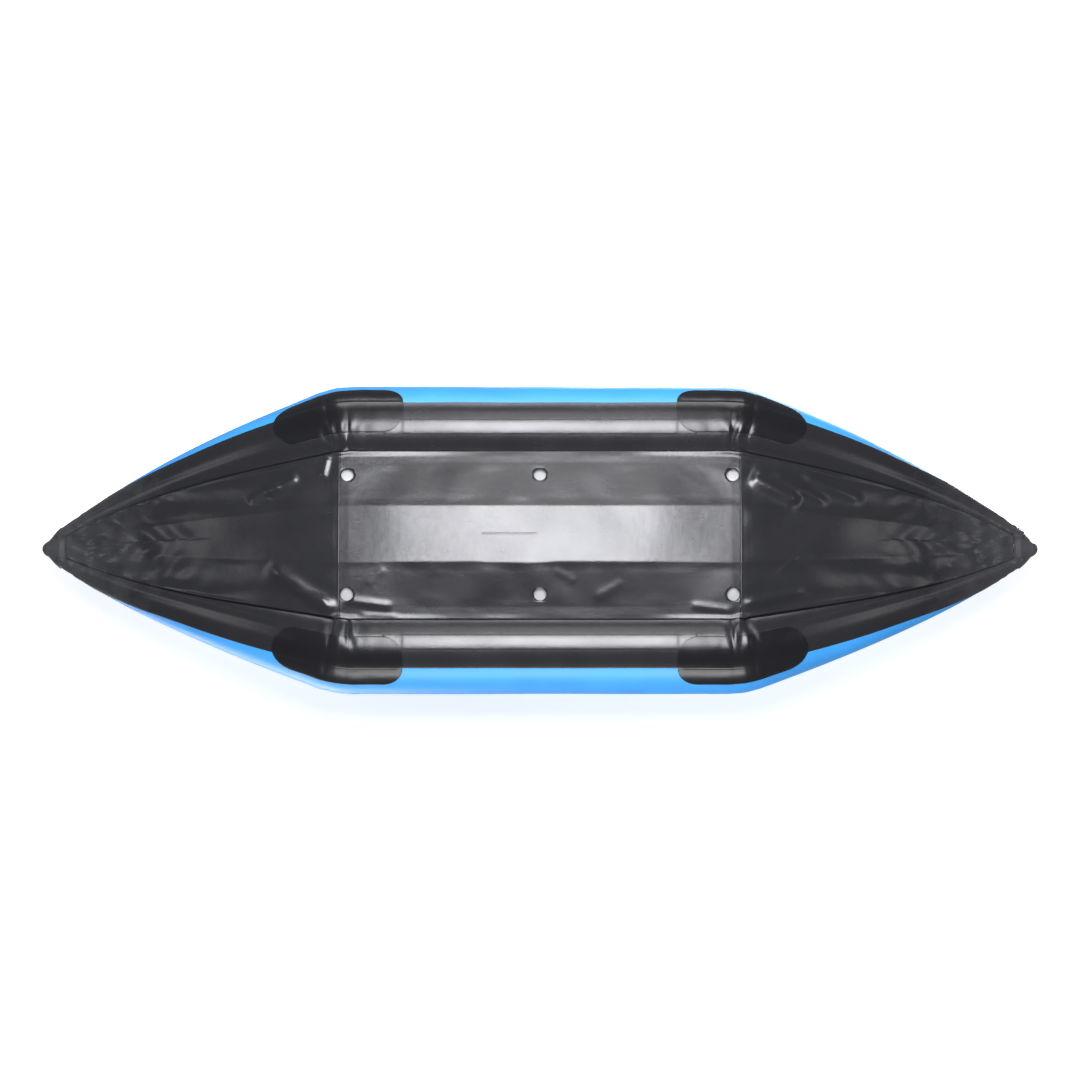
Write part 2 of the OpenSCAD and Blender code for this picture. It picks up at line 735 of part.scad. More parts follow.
module valve_place(name) {
  if (name == "floor") floor_valve_place() children();
  else place(1, name == "port" ? 1 : -1) on_tube(-valve_x, valve_angle) children();
}
module valve_bosses() {
  for (v = VALVES) valve_place(v) valve_boss(v != "floor");
}
module valve_nuts() {
  for (v = VALVES) valve_place(v) valve_nut();
}
module valve_part(part) {
  if (part == "base") valve_base();
  if (part == "spring") valve_spring();
  if (part == "poppet") valve_poppet();
  if (part == "cap") valve_cap();
}

// ---------- Carrying handles ----------

anchor_x = hull_length / 2 - handle_setback;
pin_lift = 7;
pin_r = 2.5;
fold_r = 5;
handle_reach = 74;
function tube_top(s) = path_z(s) + path_r(s) * rise_stretch(s);
anchor_pin_z = tube_top(anchor_x) + pin_lift;
anchor_y = path_y(anchor_x);
// At rest the grip lies on the two tubes.
handle_tilt = asin((anchor_pin_z - tube_top(anchor_x - handle_reach) - grip_d / 2 - 2) / handle_reach);

// Loops welded on the two tubes, with a cross pin in each
module handle_anchor() {
  translate([anchor_x, anchor_y, anchor_pin_z]) {
    rotate([90, 0, 0]) cylinder(r = pin_r, h = 36, center = true);
    for (y = [-18, 14]) translate([0, y, 0]) {
      rotate([-90, 0, 0]) cylinder(r = pin_r + 1.5, h = 4);
      difference() {
        translate([-4, 0, -2 * pin_lift]) cube([8, 4, 2 * pin_lift]);
        translate([-anchor_x, -anchor_y - y, -anchor_pin_z])
          loft([for (s = [anchor_x - 60, anchor_x + 40]) tube_ring(s, path_r(s) + lay_gap)]);
      }
    }
  }
}
module handle_anchors() {
  color("black") for (e = ENDS, s = SIDES) place(e[1], s[1]) handle_anchor();
}

// The handle's own frame: the origin is on its pins' axis, and the grip lies towards -X.
module handle_place() {
  translate([anchor_x, 0, anchor_pin_z]) rotate([0, -handle_tilt, 0]) children();
}

// Webbing from each pin, rolled up where it runs through the grip
module handle_strap() {
  color("black") handle_place() {
    for (side = [-1, 1]) translate([0, side * anchor_y, 0]) {
      difference() {
        union() {
          rotate([90, 0, 0]) cylinder(r = pin_r + 2, h = strap_w - 2, center = true);
          translate([-handle_reach, -strap_w / 2 + 1, -1]) cube([handle_reach, strap_w - 2, 2]);
        }
        rotate([90, 0, 0]) cylinder(r = pin_r + lay_gap, h = 2 * strap_w, center = true);
      }
    }
    translate([-handle_reach, 0, 0])
      rotate([90, 0, 0]) cylinder(r = fold_r, h = 2 * anchor_y + strap_w - 2, center = true);
  }
}

module handle_grip() {
  color("black") handle_place() translate([-handle_reach, 0, 0]) rotate([90, 0, 0]) difference() {
    cylinder(d = grip_d, h = grip_length, center = true);
    cylinder(r = fold_r + lay_gap, h = 2 * grip_length, center = true);
  }
}

// ---------- Nodes ----------

function shown(name) = node == "all" || node == name;

for (s = SIDES) {
  if (shown(str(s[0], "_tube_middle"))) place(1, s[1]) tube_middle();
  if (shown(str(s[0], "_wear_panel"))) place(1, s[1]) wear_panel();
  if (shown(str(s[0], "_seam_tape"))) place(1, s[1]) seam_tape();
}
for (s = SIDES, e = ENDS) {
  if (shown(str(s[0], "_", e[0], "_gusset"))) place(e[1], s[1]) gusset();
  if (shown(str(s[0], "_", e[0], "_tube"))) place(e[1], s[1]) tube_end();
  if (shown(str(s[0], "_", e[0], "_patch"))) place(e[1], s[1]) bend_patch();
  if (shown(str(s[0], "_", e[0], "_ring"))) cargo_ring(e[1], s[1]);
}
if (shown("floor_skin")) floor_skin();
for (e = ENDS) {
  if (shown(str(e[0], "_skin"))) place(e[1], 1) end_skin();
  if (shown(str(e[0], "_tip_cap"))) place(e[1], 1) tip_cap();
  if (shown(str(e[0], "_handle_strap"))) place(e[1], 1) handle_strap();
  if (shown(str(e[0], "_handle_grip"))) place(e[1], 1) handle_grip();
}
if (shown("floor_mattress")) floor_mattress();
if (shown("mattress_webs")) mattress_webs();
if (shown("seat_cushion")) seat_cushion();
if (shown("backrest")) backrest();
if (shown("footrest")) footrest();
if (shown("front_straps")) front_straps();
if (shown("rear_straps")) rear_straps();
if (shown("strap_tabs")) strap_tabs();
if (shown("ring_patches")) ring_patches();
if (shown("ring_loops")) ring_loops();
if (shown("seat_rings")) seat_rings();
if (shown("handle_anchors")) handle_anchors();
if (shown("valve_bosses")) valve_bosses();
if (shown("valve_nuts")) valve_nuts();
for (v = VALVES, p = VALVE_PARTS)
  if (shown(str(v, "_valve_", p))) valve_place(v) valve_part(p);
if (shown("seat_plugs")) seat_plugs();
if (shown("backrest_plug")) backrest_plug();
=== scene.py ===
"""A double-ended inflatable kayak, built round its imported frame.

Everything is in metres: +X to the bow, +Y to port, +Z up, with the flat keel face on z = 0.
"""
import math

import bmesh
import bpy
import numpy as np
from mathutils import Matrix, Vector


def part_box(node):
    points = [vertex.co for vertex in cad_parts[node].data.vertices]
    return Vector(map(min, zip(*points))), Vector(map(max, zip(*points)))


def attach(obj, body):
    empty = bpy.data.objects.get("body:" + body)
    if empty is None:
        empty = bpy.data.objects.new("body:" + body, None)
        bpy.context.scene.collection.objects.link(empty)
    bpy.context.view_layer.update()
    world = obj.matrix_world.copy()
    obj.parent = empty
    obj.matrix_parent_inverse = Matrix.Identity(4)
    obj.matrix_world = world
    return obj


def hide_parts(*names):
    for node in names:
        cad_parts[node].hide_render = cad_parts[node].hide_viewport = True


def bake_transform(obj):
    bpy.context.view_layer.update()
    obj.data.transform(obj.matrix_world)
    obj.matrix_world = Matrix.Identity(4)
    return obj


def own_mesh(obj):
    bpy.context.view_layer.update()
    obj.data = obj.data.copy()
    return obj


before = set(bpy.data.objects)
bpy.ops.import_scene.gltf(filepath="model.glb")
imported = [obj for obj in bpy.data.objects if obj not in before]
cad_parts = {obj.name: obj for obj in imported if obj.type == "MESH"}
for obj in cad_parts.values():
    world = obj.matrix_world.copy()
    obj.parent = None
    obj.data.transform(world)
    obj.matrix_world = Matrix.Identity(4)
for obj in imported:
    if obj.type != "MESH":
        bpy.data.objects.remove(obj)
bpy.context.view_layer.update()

# ---------- Sizes of the hull, which the frame shares ----------

BEND_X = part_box("floor_skin")[1].x
HALF_GUSSET = 0.024
END_X = 1.490
TUBE_R = 0.140
TUBE_Y = 0.335
TUBE_Z = 0.154
END_R = 0.026
END_Y = 0.027
ROCKER = 0.205
GUSSET_IN = BEND_X - HALF_GUSSET
GUSSET_OUT = BEND_X + HALF_GUSSET

WEAR_LIFT = (0.0007, 0.0017)
TAPE_LIFT = (0.0024, 0.0034)
PATCH_LIFT = (0.0027, 0.0037)
TAPE_ANGLES = (-11.5, 8.0)
WEAR_INNER = -62.0
PATCH_START = BEND_X - 0.192
PATCH_END = 0.788

SKIN_T = 0.0016
KEEL_HALF = 0.082
STRIP_W = 0.037
DRAIN_R = 0.019
DRAIN_X = (-0.588, 0.0, 0.588)
DRAIN_Y = 0.184

ENDS = (("bow", 1), ("stern", -1))
SIDES = (("port", 1), ("starboard", -1))


# ---------- Shape of the hull, as functions of the distance s from the middle ----------

def lerp(a, b, t):
    return a + (b - a) * t


def smooth(a, b, x):
    """0 below a, 1 above b, with a soft step between."""
    t = np.clip((np.asarray(x, float) - a) / (b - a), 0, 1)
    return t * t * (3 - 2 * t)


def bell(x, middle, width):
    return np.exp(-(((x - middle) / width) ** 2))


def unit(vectors):
    return vectors / np.linalg.norm(vectors, axis=-1, keepdims=True)


def stack(*columns):
    """Points from columns of coordinates, any of which may be a plain number."""
    return np.stack(np.broadcast_arrays(*columns), -1)


def circle(count):
    return np.linspace(0, 2 * math.pi, count, endpoint=False)


def run_along(path):
    """The distance along a path at each of its points."""
    return np.concatenate([[0], np.cumsum(np.linalg.norm(np.diff(path, axis=0), axis=1))])


def placed(points, matrix):
    """Points turned and placed by a matrix."""
    m = np.array(matrix, float)
    return points @ m[:3, :3].T + m[:3, 3]


def share(s):
    """0 at the bend and 1 at the tube's end."""
    return (s - BEND_X) / (END_X - BEND_X)


def curve_y(s):
    u = share(s)
    return lerp(TUBE_Y, END_Y, 0.72 * u + 0.28 * u ** 3)


def path_y(s):
    gusset = lerp(TUBE_Y, curve_y(GUSSET_OUT), (s - GUSSET_IN) / (GUSSET_OUT - GUSSET_IN))
    return np.where(s <= GUSSET_IN, TUBE_Y, np.where(s < GUSSET_OUT, gusset, curve_y(s)))


def path_z(s):
    return TUBE_Z + ROCKER * np.maximum(share(s), 0) ** 1.5


def path_r(s):
    return lerp(TUBE_R, END_R, np.maximum(share(s), 0))


def weld_angle(s):
    return -32 + 27 * np.maximum(share(s), 0) ** 2.5


def wear_edge(s):
    u = np.maximum(share(s), 0)
    return 31.5 + 26 * u + 260 * np.maximum(u - 0.5, 0) ** 2


def seam_angle(s):
    """The long seam of the wear panel, which runs into the weld at the tip."""
    u = np.maximum(share(s), 0)
    return lerp(TAPE_ANGLES[0], weld_angle(s) + 6, smooth(0.1, 0.9, u))


def ripple(u, v, seed, size, terms=10):
    """Soft, seeded unevenness of about -1 to 1 over two coordinates, with waves of about that size."""
    rng = np.random.default_rng(seed)
    total = np.zeros(np.broadcast(u, v).shape)
    for _ in range(terms):
        turn = rng.uniform(0, 2 * math.pi)
        wave = 2 * math.pi / (size * rng.uniform(0.7, 1.6))
        total += np.sin(wave * (math.cos(turn) * u + math.sin(turn) * v) + rng.uniform(0, 2 * math.pi))
    return total / math.sqrt(terms)


def tube_puff(x, angle, side):
    """How far the tube's fabric stands off its plain round shape."""
    s = np.abs(x)
    seed = 11 + 4 * (side > 0)
    around = np.radians(angle) * TUBE_R
    puff = 0.0006 * ripple(x, around, seed, 0.35, 6)
    # The panels are drawn in at the bend's two seams.
    for seam in (GUSSET_IN, GUSSET_OUT):
        puff -= 0.0007 * bell(s, seam, 0.008)
        puff -= 0.0006 * bell(s, seam, 0.0016)
    # Crumples on the inner side of the bend, where the fabric is too long
    inner = smooth(85, 20, np.abs(angle + 50))
    near = bell(s, BEND_X, 0.042)
    puff += 0.0022 * inner * near * ripple(x * 1.5, around * 0.5, seed + 1, 0.040)
    puff += 0.0005 * bell(s, BEND_X, 0.12) * ripple(x, around * 0.5, seed + 2, 0.06)
    # Long folds that gather at the tip
    gather = smooth(1.10, 1.47, s)
    puff += 0.0012 * gather * ripple(s * 0.12, np.radians(angle) * 0.045, seed + 3, 0.03)
    puff += 0.0010 * smooth(1.34, 1.47, s) * ripple(x, np.radians(angle) * 0.04, seed + 4, 0.022)
    return puff


def tube_line(s):
    return stack(s, path_y(s), path_z(s))


def hull_frame(s):
    """Centre line, outward and upward directions of the port tube."""
    step = 0.012
    heading = unit(tube_line(s + step) - tube_line(s - step))
    outward = unit(np.cross(np.array([0.0, 0.0, 1.0]), heading))
    return tube_line(s), outward, np.cross(heading, outward)


def on_tube(side, x, angle, lift=0.0):
    """Points of the side tube's surface: x along the hull, angle 0 underneath and 90 outboard."""
    x, angle, lift = np.broadcast_arrays(
        np.asarray(x, float), np.asarray(angle, float), np.asarray(lift, float))
    s = np.abs(x)
    centre, outward, upward = hull_frame(s)
    radius = (path_r(s) + lift + tube_puff(x, angle, side))[..., None]
    a = np.radians(angle)[..., None]
    points = centre + radius * (np.sin(a) * outward - np.cos(a) * upward)
    points[..., 0] *= np.where(x < 0, -1, 1)
    points[..., 1] *= side
    return points


# ---------- Meshes ----------

def linked(name, data):
    obj = bpy.data.objects.new(name, data)
    bpy.context.scene.collection.objects.link(obj)
    return obj


def piece(name, points, faces, material, uv, **ride):
    """A mesh object that rides on a body. uv holds one pair in metres for each point."""
    mesh = bpy.data.meshes.new(name)
    mesh.from_pydata([tuple(p) for p in np.asarray(points, float).reshape(-1, 3)], [], faces)
    mesh.materials.append(material)
    mesh.polygons.foreach_set("use_smooth", [True] * len(mesh.polygons))
    layer = mesh.uv_layers.new(name="cloth")
    loops = np.zeros(len(mesh.loops), int)
    mesh.loops.foreach_get("vertex_index", loops)
    layer.data.foreach_set("uv", np.asarray(uv, float).reshape(-1, 2)[loops].ravel())
    return seat(linked(name, mesh), **ride)


def seat(obj, body="hull", stands_for=(), slot=None):
    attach(obj, body)
    if stands_for:
        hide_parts(*stands_for)
    return obj


def face_out(obj):
    """Drops the loose points of a closed mesh and turns its faces outwards."""
    bm = bmesh.new()
    bm.from_mesh(obj.data)
    bmesh.ops.delete(bm, geom=[v for v in bm.verts if not v.link_faces], context="VERTS")
    bmesh.ops.remove_doubles(bm, verts=bm.verts, dist=1e-6)
    bmesh.ops.recalc_face_normals(bm, faces=bm.faces)
    bm.to_mesh(obj.data)
    bm.free()
    return obj


def grid_faces(rows, cols, wrap=False, start=0):
    last = cols if wrap else cols - 1
    return [
        (start + i * cols + j, start + (i + 1) * cols + j,
         start + (i + 1) * cols + (j + 1) % cols, start + i * cols + (j + 1) % cols)
        for i in range(rows - 1) for j in range(last)
    ]


def ring_faces(rows, cols):
    """Faces between rings of points, with the last ring joined to the first."""
    last = (rows - 1) * cols
    return grid_faces(rows, cols, wrap=True) + [
        (last + j, j, (j + 1) % cols, last + (j + 1) % cols) for j in range(cols)]


def flipped(faces, shift=0):
    return [tuple(reversed([i + shift for i in f])) for f in faces]


def shell(name, outer, inner, material, uv, **ride):
    """A closed sheet between an outer and an inner grid of points."""
    rows, cols = outer.shape[:2]
    count = rows * cols
    faces = grid_faces(rows, cols)
    faces += flipped(faces, count)
    rim = list(range(cols))
    rim += [(i + 1) * cols - 1 for i in range(1, rows)]
    rim += [(rows - 1) * cols + j for j in range(cols - 2, -1, -1)]
    rim += [i * cols for i in range(rows - 2, 0, -1)]
    faces += [(a, b, b + count, a + count) for a, b in zip(rim, rim[1:] + rim[:1])]
    points = np.concatenate([outer.reshape(-1, 3), inner.reshape(-1, 3)])
    return face_out(piece(name, points, faces, material, np.concatenate([uv.reshape(-1, 2)] * 2), **ride))


def cloth_uv(x, angle):
    return stack(x, np.radians(angle) * path_r(np.abs(x)))


# ---------- Materials ----------

def shader(name, color, roughness, **sockets):
    """A material with its Principled shader, and a helper that adds nodes to it."""
    material = bpy.data.materials.new(name)
    material.use_nodes = True
    tree = material.node_tree
    surface = tree.nodes["Principled BSDF"]
    surface.inputs["Base Color"].default_value = (*color, 1)
    surface.inputs["Roughness"].default_value = roughness
    for key, value in sockets.items():
        surface.inputs[key.replace("_", " ")].default_value = value
    return material, tree, surface


def node(tree, kind, links=(), **values):
    """Adds a node. values set its properties or sockets, and links maps sockets to other nodes' outputs."""
    made = tree.nodes.new("ShaderNode" + kind)
    for key, value in values.items():
        if hasattr(made, key):
            setattr(made, key, value)
        else:
            made.inputs[key.replace("_", " ")].default_value = value
    for key, output in dict(links).items():
        tree.links.new(output, made.inputs[key])
    return made


def noise(tree, coords, **sockets):
    return node(tree, "TexNoise", {"Vector": coords}, **sockets).outputs["Fac"]


def ramp(tree, value, stops):
    """A colour that runs between two stops, each a position and a colour."""
    made = node(tree, "ValToRGB", {"Fac": value})
    for element, (position, color) in zip(made.color_ramp.elements, stops):
        element.position, element.color = position, (*color, 1)
    return made.outputs["Color"]


def grey(level):
    return (level, level, level)


def mixed(tree, factor, first, second):
    """A colour that goes from the first to the second, either a colour or an output, as factor goes from 0 to 1."""
    made = tree.nodes.new("ShaderNodeMix")
    made.data_type = "RGBA"
    tree.links.new(factor, made.inputs["Factor"])
    for socket, value in zip([i for i in made.inputs if i.type == "RGBA"], (first, second)):
        if isinstance(value, tuple):
            socket.default_value = (*value, 1)
        else:
            tree.links.new(value, socket)
    return next(o for o in made.outputs if o.type == "RGBA")


def maths(tree, operation, first, second=None):
    """One step of arithmetic on outputs or plain numbers."""
    made = node(tree, "Math", operation=operation)
    for socket, value in zip(made.inputs, (first, second)):
        if isinstance(value, (int, float)):
            socket.default_value = value
        elif value is not None:
            tree.links.new(value, socket)
    return made.outputs[0]


def weave_height(tree, coords, pitch):
    """Threads over and under each other, as a height."""
    split = node(tree, "SeparateXYZ", {"Vector": coords})
    threads = [maths(tree, "SINE", maths(tree, "MULTIPLY", split.outputs[axis], 2 * math.pi / pitch))
               for axis in ("X", "Y")]
    return maths(tree, "MULTIPLY", *threads)


def bumps(tree, surface, *layers):
    """Bump layers on top of each other, each a height, a strength and a distance."""
    normal = None
    for height, strength, distance in layers:
        links = {"Height": height}
        if normal is not None:
            links["Normal"] = normal
        normal = node(tree, "Bump", links, Strength=strength, Distance=distance).outputs["Normal"]
    tree.links.new(normal, surface.inputs["Normal"])


def coated_fabric(name, color, roughness, weave=0.0011, depth=0.16, smudge=0.08, dents=0.0010, scuffs=0.0,
                  tip_sheen=0.0, pattern="UV", specular=0.5):
    """Woven base cloth under a smooth coat: a fine weave, soft smudges, rubbed streaks, and duller tips painted
    lighter grey as painted sheen.
    """
    material, tree, surface = shader(name, color, roughness, Specular_IOR_Level=specular)
    coords = node(tree, "TexCoord").outputs[pattern]
    place = node(tree, "TexCoord").outputs["Object"]
    patchy = noise(tree, place, Scale=7.0, Detail=3.0, Roughness=0.5)
    fine = noise(tree, place, Scale=420.0, Detail=2.0)
    soft = noise(tree, place, Scale=38.0, Detail=2.0, Roughness=0.5)
    cloth = maths(tree, "ADD", weave_height(tree, coords, weave), fine)
    bumps(tree, surface, (cloth, depth, 0.00012), (soft, 0.3, dents))
    dull = ramp(tree, patchy, [(0.3, grey(max(roughness - smudge, 0.05))), (0.7, grey(roughness + smudge))])
    tone = ramp(tree, patchy, [(0.35, tuple(c * 0.9 for c in color)), (0.65, color)])
    if scuffs:
        stretch = node(tree, "Mapping", {"Vector": place}, Scale=(7.0, 70.0, 7.0))
        rubbed = noise(tree, stretch.outputs["Vector"], Scale=2.2, Detail=8.0, Roughness=0.75)
        marks = ramp(tree, rubbed, [(0.62, grey(0)), (0.76, grey(scuffs))])
        tone = mixed(tree, marks, tone, (0.16, 0.16, 0.17))
        dull = maths(tree, "ADD", marks, dull)
    # Painted sheen: towards the tips the colour turns lighter grey, for light caught in the wrinkles, and the coat
    # turns a little duller.
    if tip_sheen:
        along = node(tree, "SeparateXYZ", {"Vector": place}).outputs["X"]
        ragged = noise(tree, place, Scale=14.0, Detail=5.0, Roughness=0.6)
        edge = maths(tree, "ADD", maths(tree, "ABSOLUTE", along), maths(tree, "MULTIPLY", ragged, 0.40))
        tip_sheen_mask = node(tree, "MapRange", {"Value": edge}, From_Min=1.38, From_Max=1.84, To_Min=0.0,
                     To_Max=tip_sheen).outputs["Result"]
        tone = mixed(tree, tip_sheen_mask, tone, (0.062, 0.062, 0.068))
        dull = maths(tree, "ADD", maths(tree, "MULTIPLY", tip_sheen_mask, 0.08), dull)
    tree.links.new(tone, surface.inputs["Base Color"])
    tree.links.new(dull, surface.inputs["Roughness"])
    return material


def webbing(name, color, pattern="UV"):
    """Narrow woven tape: ribs across it, a softer rib along it, and a little fuzz."""
    material, tree, surface = shader(name, color, 0.62, Sheen_Weight=0.25, Sheen_Roughness=0.5)
    coords = node(tree, "TexCoord").outputs[pattern]
    split = node(tree, "SeparateXYZ", {"Vector": coords})
    along = maths(tree, "MULTIPLY", split.outputs["X"], 2 * math.pi / 0.0016)
    across = maths(tree, "MULTIPLY", split.outputs["Y"], 2 * math.pi / 0.0024)
    twill = maths(tree, "SINE", maths(tree, "ADD", along, across))
    cross = maths(tree, "SINE", maths(tree, "SUBTRACT", along, across))
    height = maths(tree, "MAXIMUM", twill, cross)
    fuzz = noise(tree, coords, Scale=900.0, Detail=3.0)
    bumps(tree, surface, (maths(tree, "ADD", height, fuzz), 0.5, 0.00025))
    # Painted shade: the weave's low threads are painted darker, for the shade between the ribs.
    tone = ramp(tree, height, [(0.1, tuple(c * 0.45 for c in color)), (0.9, color)])
    tree.links.new(tone, surface.inputs["Base Color"])
    return material


def moulded(name, color, roughness, grain=900.0, depth=0.15, **sockets):
    """Moulded plastic or rubber: fine spark-eroded grain and slightly uneven gloss."""
    material, tree, surface = shader(name, color, roughness, **sockets)
    place = node(tree, "TexCoord").outputs["Object"]
    fine = noise(tree, place, Scale=grain, Detail=3.0, Roughness=0.6)
    broad = noise(tree, place, Scale=60.0, Detail=3.0)
    bumps(tree, surface, (fine, depth, 0.0002))
    tree.links.new(ramp(tree, broad, [(0.3, grey(roughness - 0.06)), (0.7, grey(roughness + 0.08))]),
                   surface.inputs["Roughness"])
    tree.links.new(ramp(tree, broad, [(0.3, tuple(c * 0.8 for c in color)), (0.7, color)]),
                   surface.inputs["Base Color"])
    return material


def polished_steel(name):
    material, tree, surface = shader(name, (0.62, 0.62, 0.63), 0.2, Metallic=1.0)
    place = node(tree, "TexCoord").outputs["Object"]
    lines = node(tree, "Mapping", {"Vector": place}, Scale=(60.0, 900.0, 900.0))
    drawn = noise(tree, lines.outputs["Vector"], Scale=1.0, Detail=4.0)
    bumps(tree, surface, (drawn, 0.08, 0.0002))
    tree.links.new(ramp(tree, drawn, [(0.3, grey(0.14)), (0.7, grey(0.30))]), surface.inputs["Roughness"])
    return material


BLUE = coated_fabric("blue_coated_fabric", (0.040, 0.33, 0.84), 0.42, depth=0.10, smudge=0.04)
BLACK = coated_fabric("black_coated_fabric", (0.012, 0.012, 0.015), 0.25, depth=0.08, smudge=0.03, scuffs=0.10,
                      tip_sheen=1.0)
PATCH_BLACK = coated_fabric("patch_fabric", (0.006, 0.006, 0.008), 0.24, depth=0.10, smudge=0.03, specular=0.36)
MATTRESS = coated_fabric("mattress_fabric", (0.60, 0.61, 0.62), 0.40, depth=0.12, smudge=0.04)
SEAT = coated_fabric("seat_fabric", (0.022, 0.023, 0.026), 0.62, weave=0.0016, depth=0.5, smudge=0.05)
SEAT_PIPING = coated_fabric("seat_piping", (0.05, 0.05, 0.055), 0.5, weave=0.0009, depth=0.3, pattern="Object")
TAPE = webbing("black_webbing", (0.020, 0.020, 0.021))
TAPE_CAD = webbing("black_webbing_tabs", (0.020, 0.020, 0.021), pattern="Object")
THREAD = moulded("sewing_thread", (0.10, 0.10, 0.105), 0.7)
RUBBER = moulded("black_rubber", (0.016, 0.016, 0.017), 0.5, grain=500.0, depth=0.25)
PLASTIC = moulded("black_moulded_plastic", (0.02, 0.02, 0.021), 0.38)
POPPET = moulded("poppet_plastic", (0.55, 0.56, 0.56), 0.3, depth=0.05)
STEEL = polished_steel("polished_steel")


# ---------- Side tubes ----------

TUBE_COLUMNS = 160


def tube_panel(name, side, stations, nodes):
    angles = np.linspace(0, 360, TUBE_COLUMNS, endpoint=False)
    angles = np.where(angles > 180, angles - 360, angles)[None, :]
    x = np.asarray(stations)[:, None]
    faces = grid_faces(len(stations), TUBE_COLUMNS, wrap=True)
    if side * (stations[-1] - stations[0]) > 0:
        faces = flipped(faces)
    return piece(name, on_tube(side, x, angles), faces, BLUE, cloth_uv(x, angles), stands_for=nodes,
                 slot="blue_fabric")


def side_tubes():
    # Rows crowd at the seams, where the fabric turns sharply.
    middle = np.concatenate([np.linspace(-GUSSET_IN, -0.56, 16), np.linspace(-0.555, 0.555, 130),
                             np.linspace(0.56, GUSSET_IN, 16)])
    gusset = np.linspace(GUSSET_IN, GUSSET_OUT, 30)
    end = np.concatenate([np.linspace(GUSSET_OUT, 0.67, 20), np.linspace(0.675, END_X, 180)])
    for side_name, side in SIDES:
        tube_panel(side_name + "_tube_skin_middle", side, middle, [side_name + "_tube_middle"])
        for end_name, way in ENDS:
            part = f"{side_name}_{end_name}"
            tube_panel(part + "_gusset_skin", side, way * gusset, [part + "_gusset"])
            tube_panel(part + "_tube_skin", side, way * end, [part + "_tube"])


def tube_layer(name, side, x, angles, lift, material, nodes):
    """A sheet on the tube, rounded at its long edges. angles has one row of angles for each station in x."""
    edge = 0.0016
    x = np.asarray(x)[:, None]
    low, high = lift
    rim = np.minimum(angles - angles[:, :1], angles[:, -1:] - angles)
    rim_m = np.radians(rim) * path_r(np.abs(x))
    rounded = low + (high - low) * (0.35 + 0.65 * np.sqrt(np.clip(rim_m / edge, 0, 1)))
    return shell(name, on_tube(side, x, angles, rounded), on_tube(side, x, angles, low), material,
                 cloth_uv(x, angles), stands_for=nodes, slot="black_fabric")


def spread(low, high, count):
    """Rows of angles from low to high, with extra columns close to both edges."""
    edge = 0.012
    close = np.array([0, edge * 0.25, edge * 0.6])
    t = np.concatenate([close, np.linspace(edge, 1 - edge, count), 1 - close[::-1]])
    return lerp(np.asarray(low)[:, None], np.asarray(high)[:, None], t)


def seam_lift(x, angles):
    """A folded seam that stands up along the wear panel from the patch to the tip."""
    s = np.abs(x)
    off = np.radians(angles - seam_angle(s)) * path_r(s)
    return 0.0011 * smooth(0.74, 0.80, s) * smooth(-0.0012, 0.0006, off) * smooth(0.030, 0.018, off)


def wear_panels():
    x = np.concatenate([np.linspace(0, 0.55, 90), np.linspace(0.555, 0.68, 75), np.linspace(0.685, END_X, 190)])
    x = np.concatenate([-x[:0:-1], x])
    reach = PATCH_START + 0.060
    tape_x = np.linspace(-reach, reach, 190)
    tape = spread(*(np.full(190, angle) for angle in TAPE_ANGLES), 18)
    under_patch = smooth(PATCH_START - 0.004, PATCH_START + 0.006, np.abs(tape_x))[:, None]
    tape_lift = (TAPE_LIFT[0] - 0.0006, TAPE_LIFT[1] - 0.0008 - 0.0006 * under_patch)
    angles = spread(np.full(len(x), WEAR_INNER), wear_edge(np.abs(x)), 62)
    wear_lift = (WEAR_LIFT[0], WEAR_LIFT[1] + seam_lift(x[:, None], angles))
    for side_name, side in SIDES:
        tube_layer(side_name + "_wear_skin", side, x, angles, wear_lift, BLACK, [side_name + "_wear_panel"])
        tube_layer(side_name + "_tape_skin", side, tape_x, tape, tape_lift, BLACK, [side_name + "_seam_tape"])


def patches():
    """Reinforcement patches with nearly half-round ends, hugging the step at the wear panel's edge."""
    low, high, radius = -9.0, 58.0, 0.066
    t = np.concatenate([[0, 0.004, 0.012, 0.03], np.linspace(0.05, 0.95, 90), [0.97, 0.988, 0.996, 1]])
    x = lerp(PATCH_START, PATCH_END, t)
    into = np.minimum(x - PATCH_START, PATCH_END - x)
    cut = radius - np.sqrt(np.maximum(radius ** 2 - (radius - np.minimum(into, radius)) ** 2, 0))
    cut = np.minimum(np.degrees(cut / path_r(x)), (high - low) / 2 - 1.5)
    angles = spread(low + cut, high - cut, 60)
    over_blue = smooth(wear_edge(x)[:, None] + 0.2, wear_edge(x)[:, None] + 2.6, angles)
    lift = (PATCH_LIFT[0] - 0.0014 * over_blue - 0.0006, PATCH_LIFT[1] - 0.0017 * over_blue)
    for side_name, side in SIDES:
        for end_name, way in ENDS:
            part = f"{side_name}_{end_name}_patch"
            tube_layer(part + "_skin", side, way * x, angles, lift, PATCH_BLACK, [part])


# ---------- Floor skin ----------

SKIN_LIFT = 0.0020
END_SKIN_LIFT = 0.0036


def stretch(path, s):
    step = 0.005
    return np.sqrt(1 + ((path(s + step) - path(s - step)) / (2 * step)) ** 2)


def weld_y(s, lift=SKIN_LIFT):
    return path_y(s) + (path_r(s) + lift) * stretch(path_y, s) * np.sin(np.radians(weld_angle(s)))


def weld_z(s, lift=SKIN_LIFT):
    return path_z(s) - (path_r(s) + lift) * stretch(path_z, s) * np.cos(np.radians(weld_angle(s)))


WELD_Y = float(weld_y(np.array(0.0)))
KEEL_DEPTH = float(weld_z(np.array(0.0))) - SKIN_T


def narrow(s):
    return weld_y(s) / WELD_Y


def keel_z(s):
    return weld_z(s) - SKIN_T - KEEL_DEPTH * narrow(s)


def keel_lift(s):
    """The keel face rises a little towards the bends."""
    return 0.016 * np.clip((s - 0.15) / 0.47, 0, 1) ** 2 * smooth(1.35, 0.62, s)


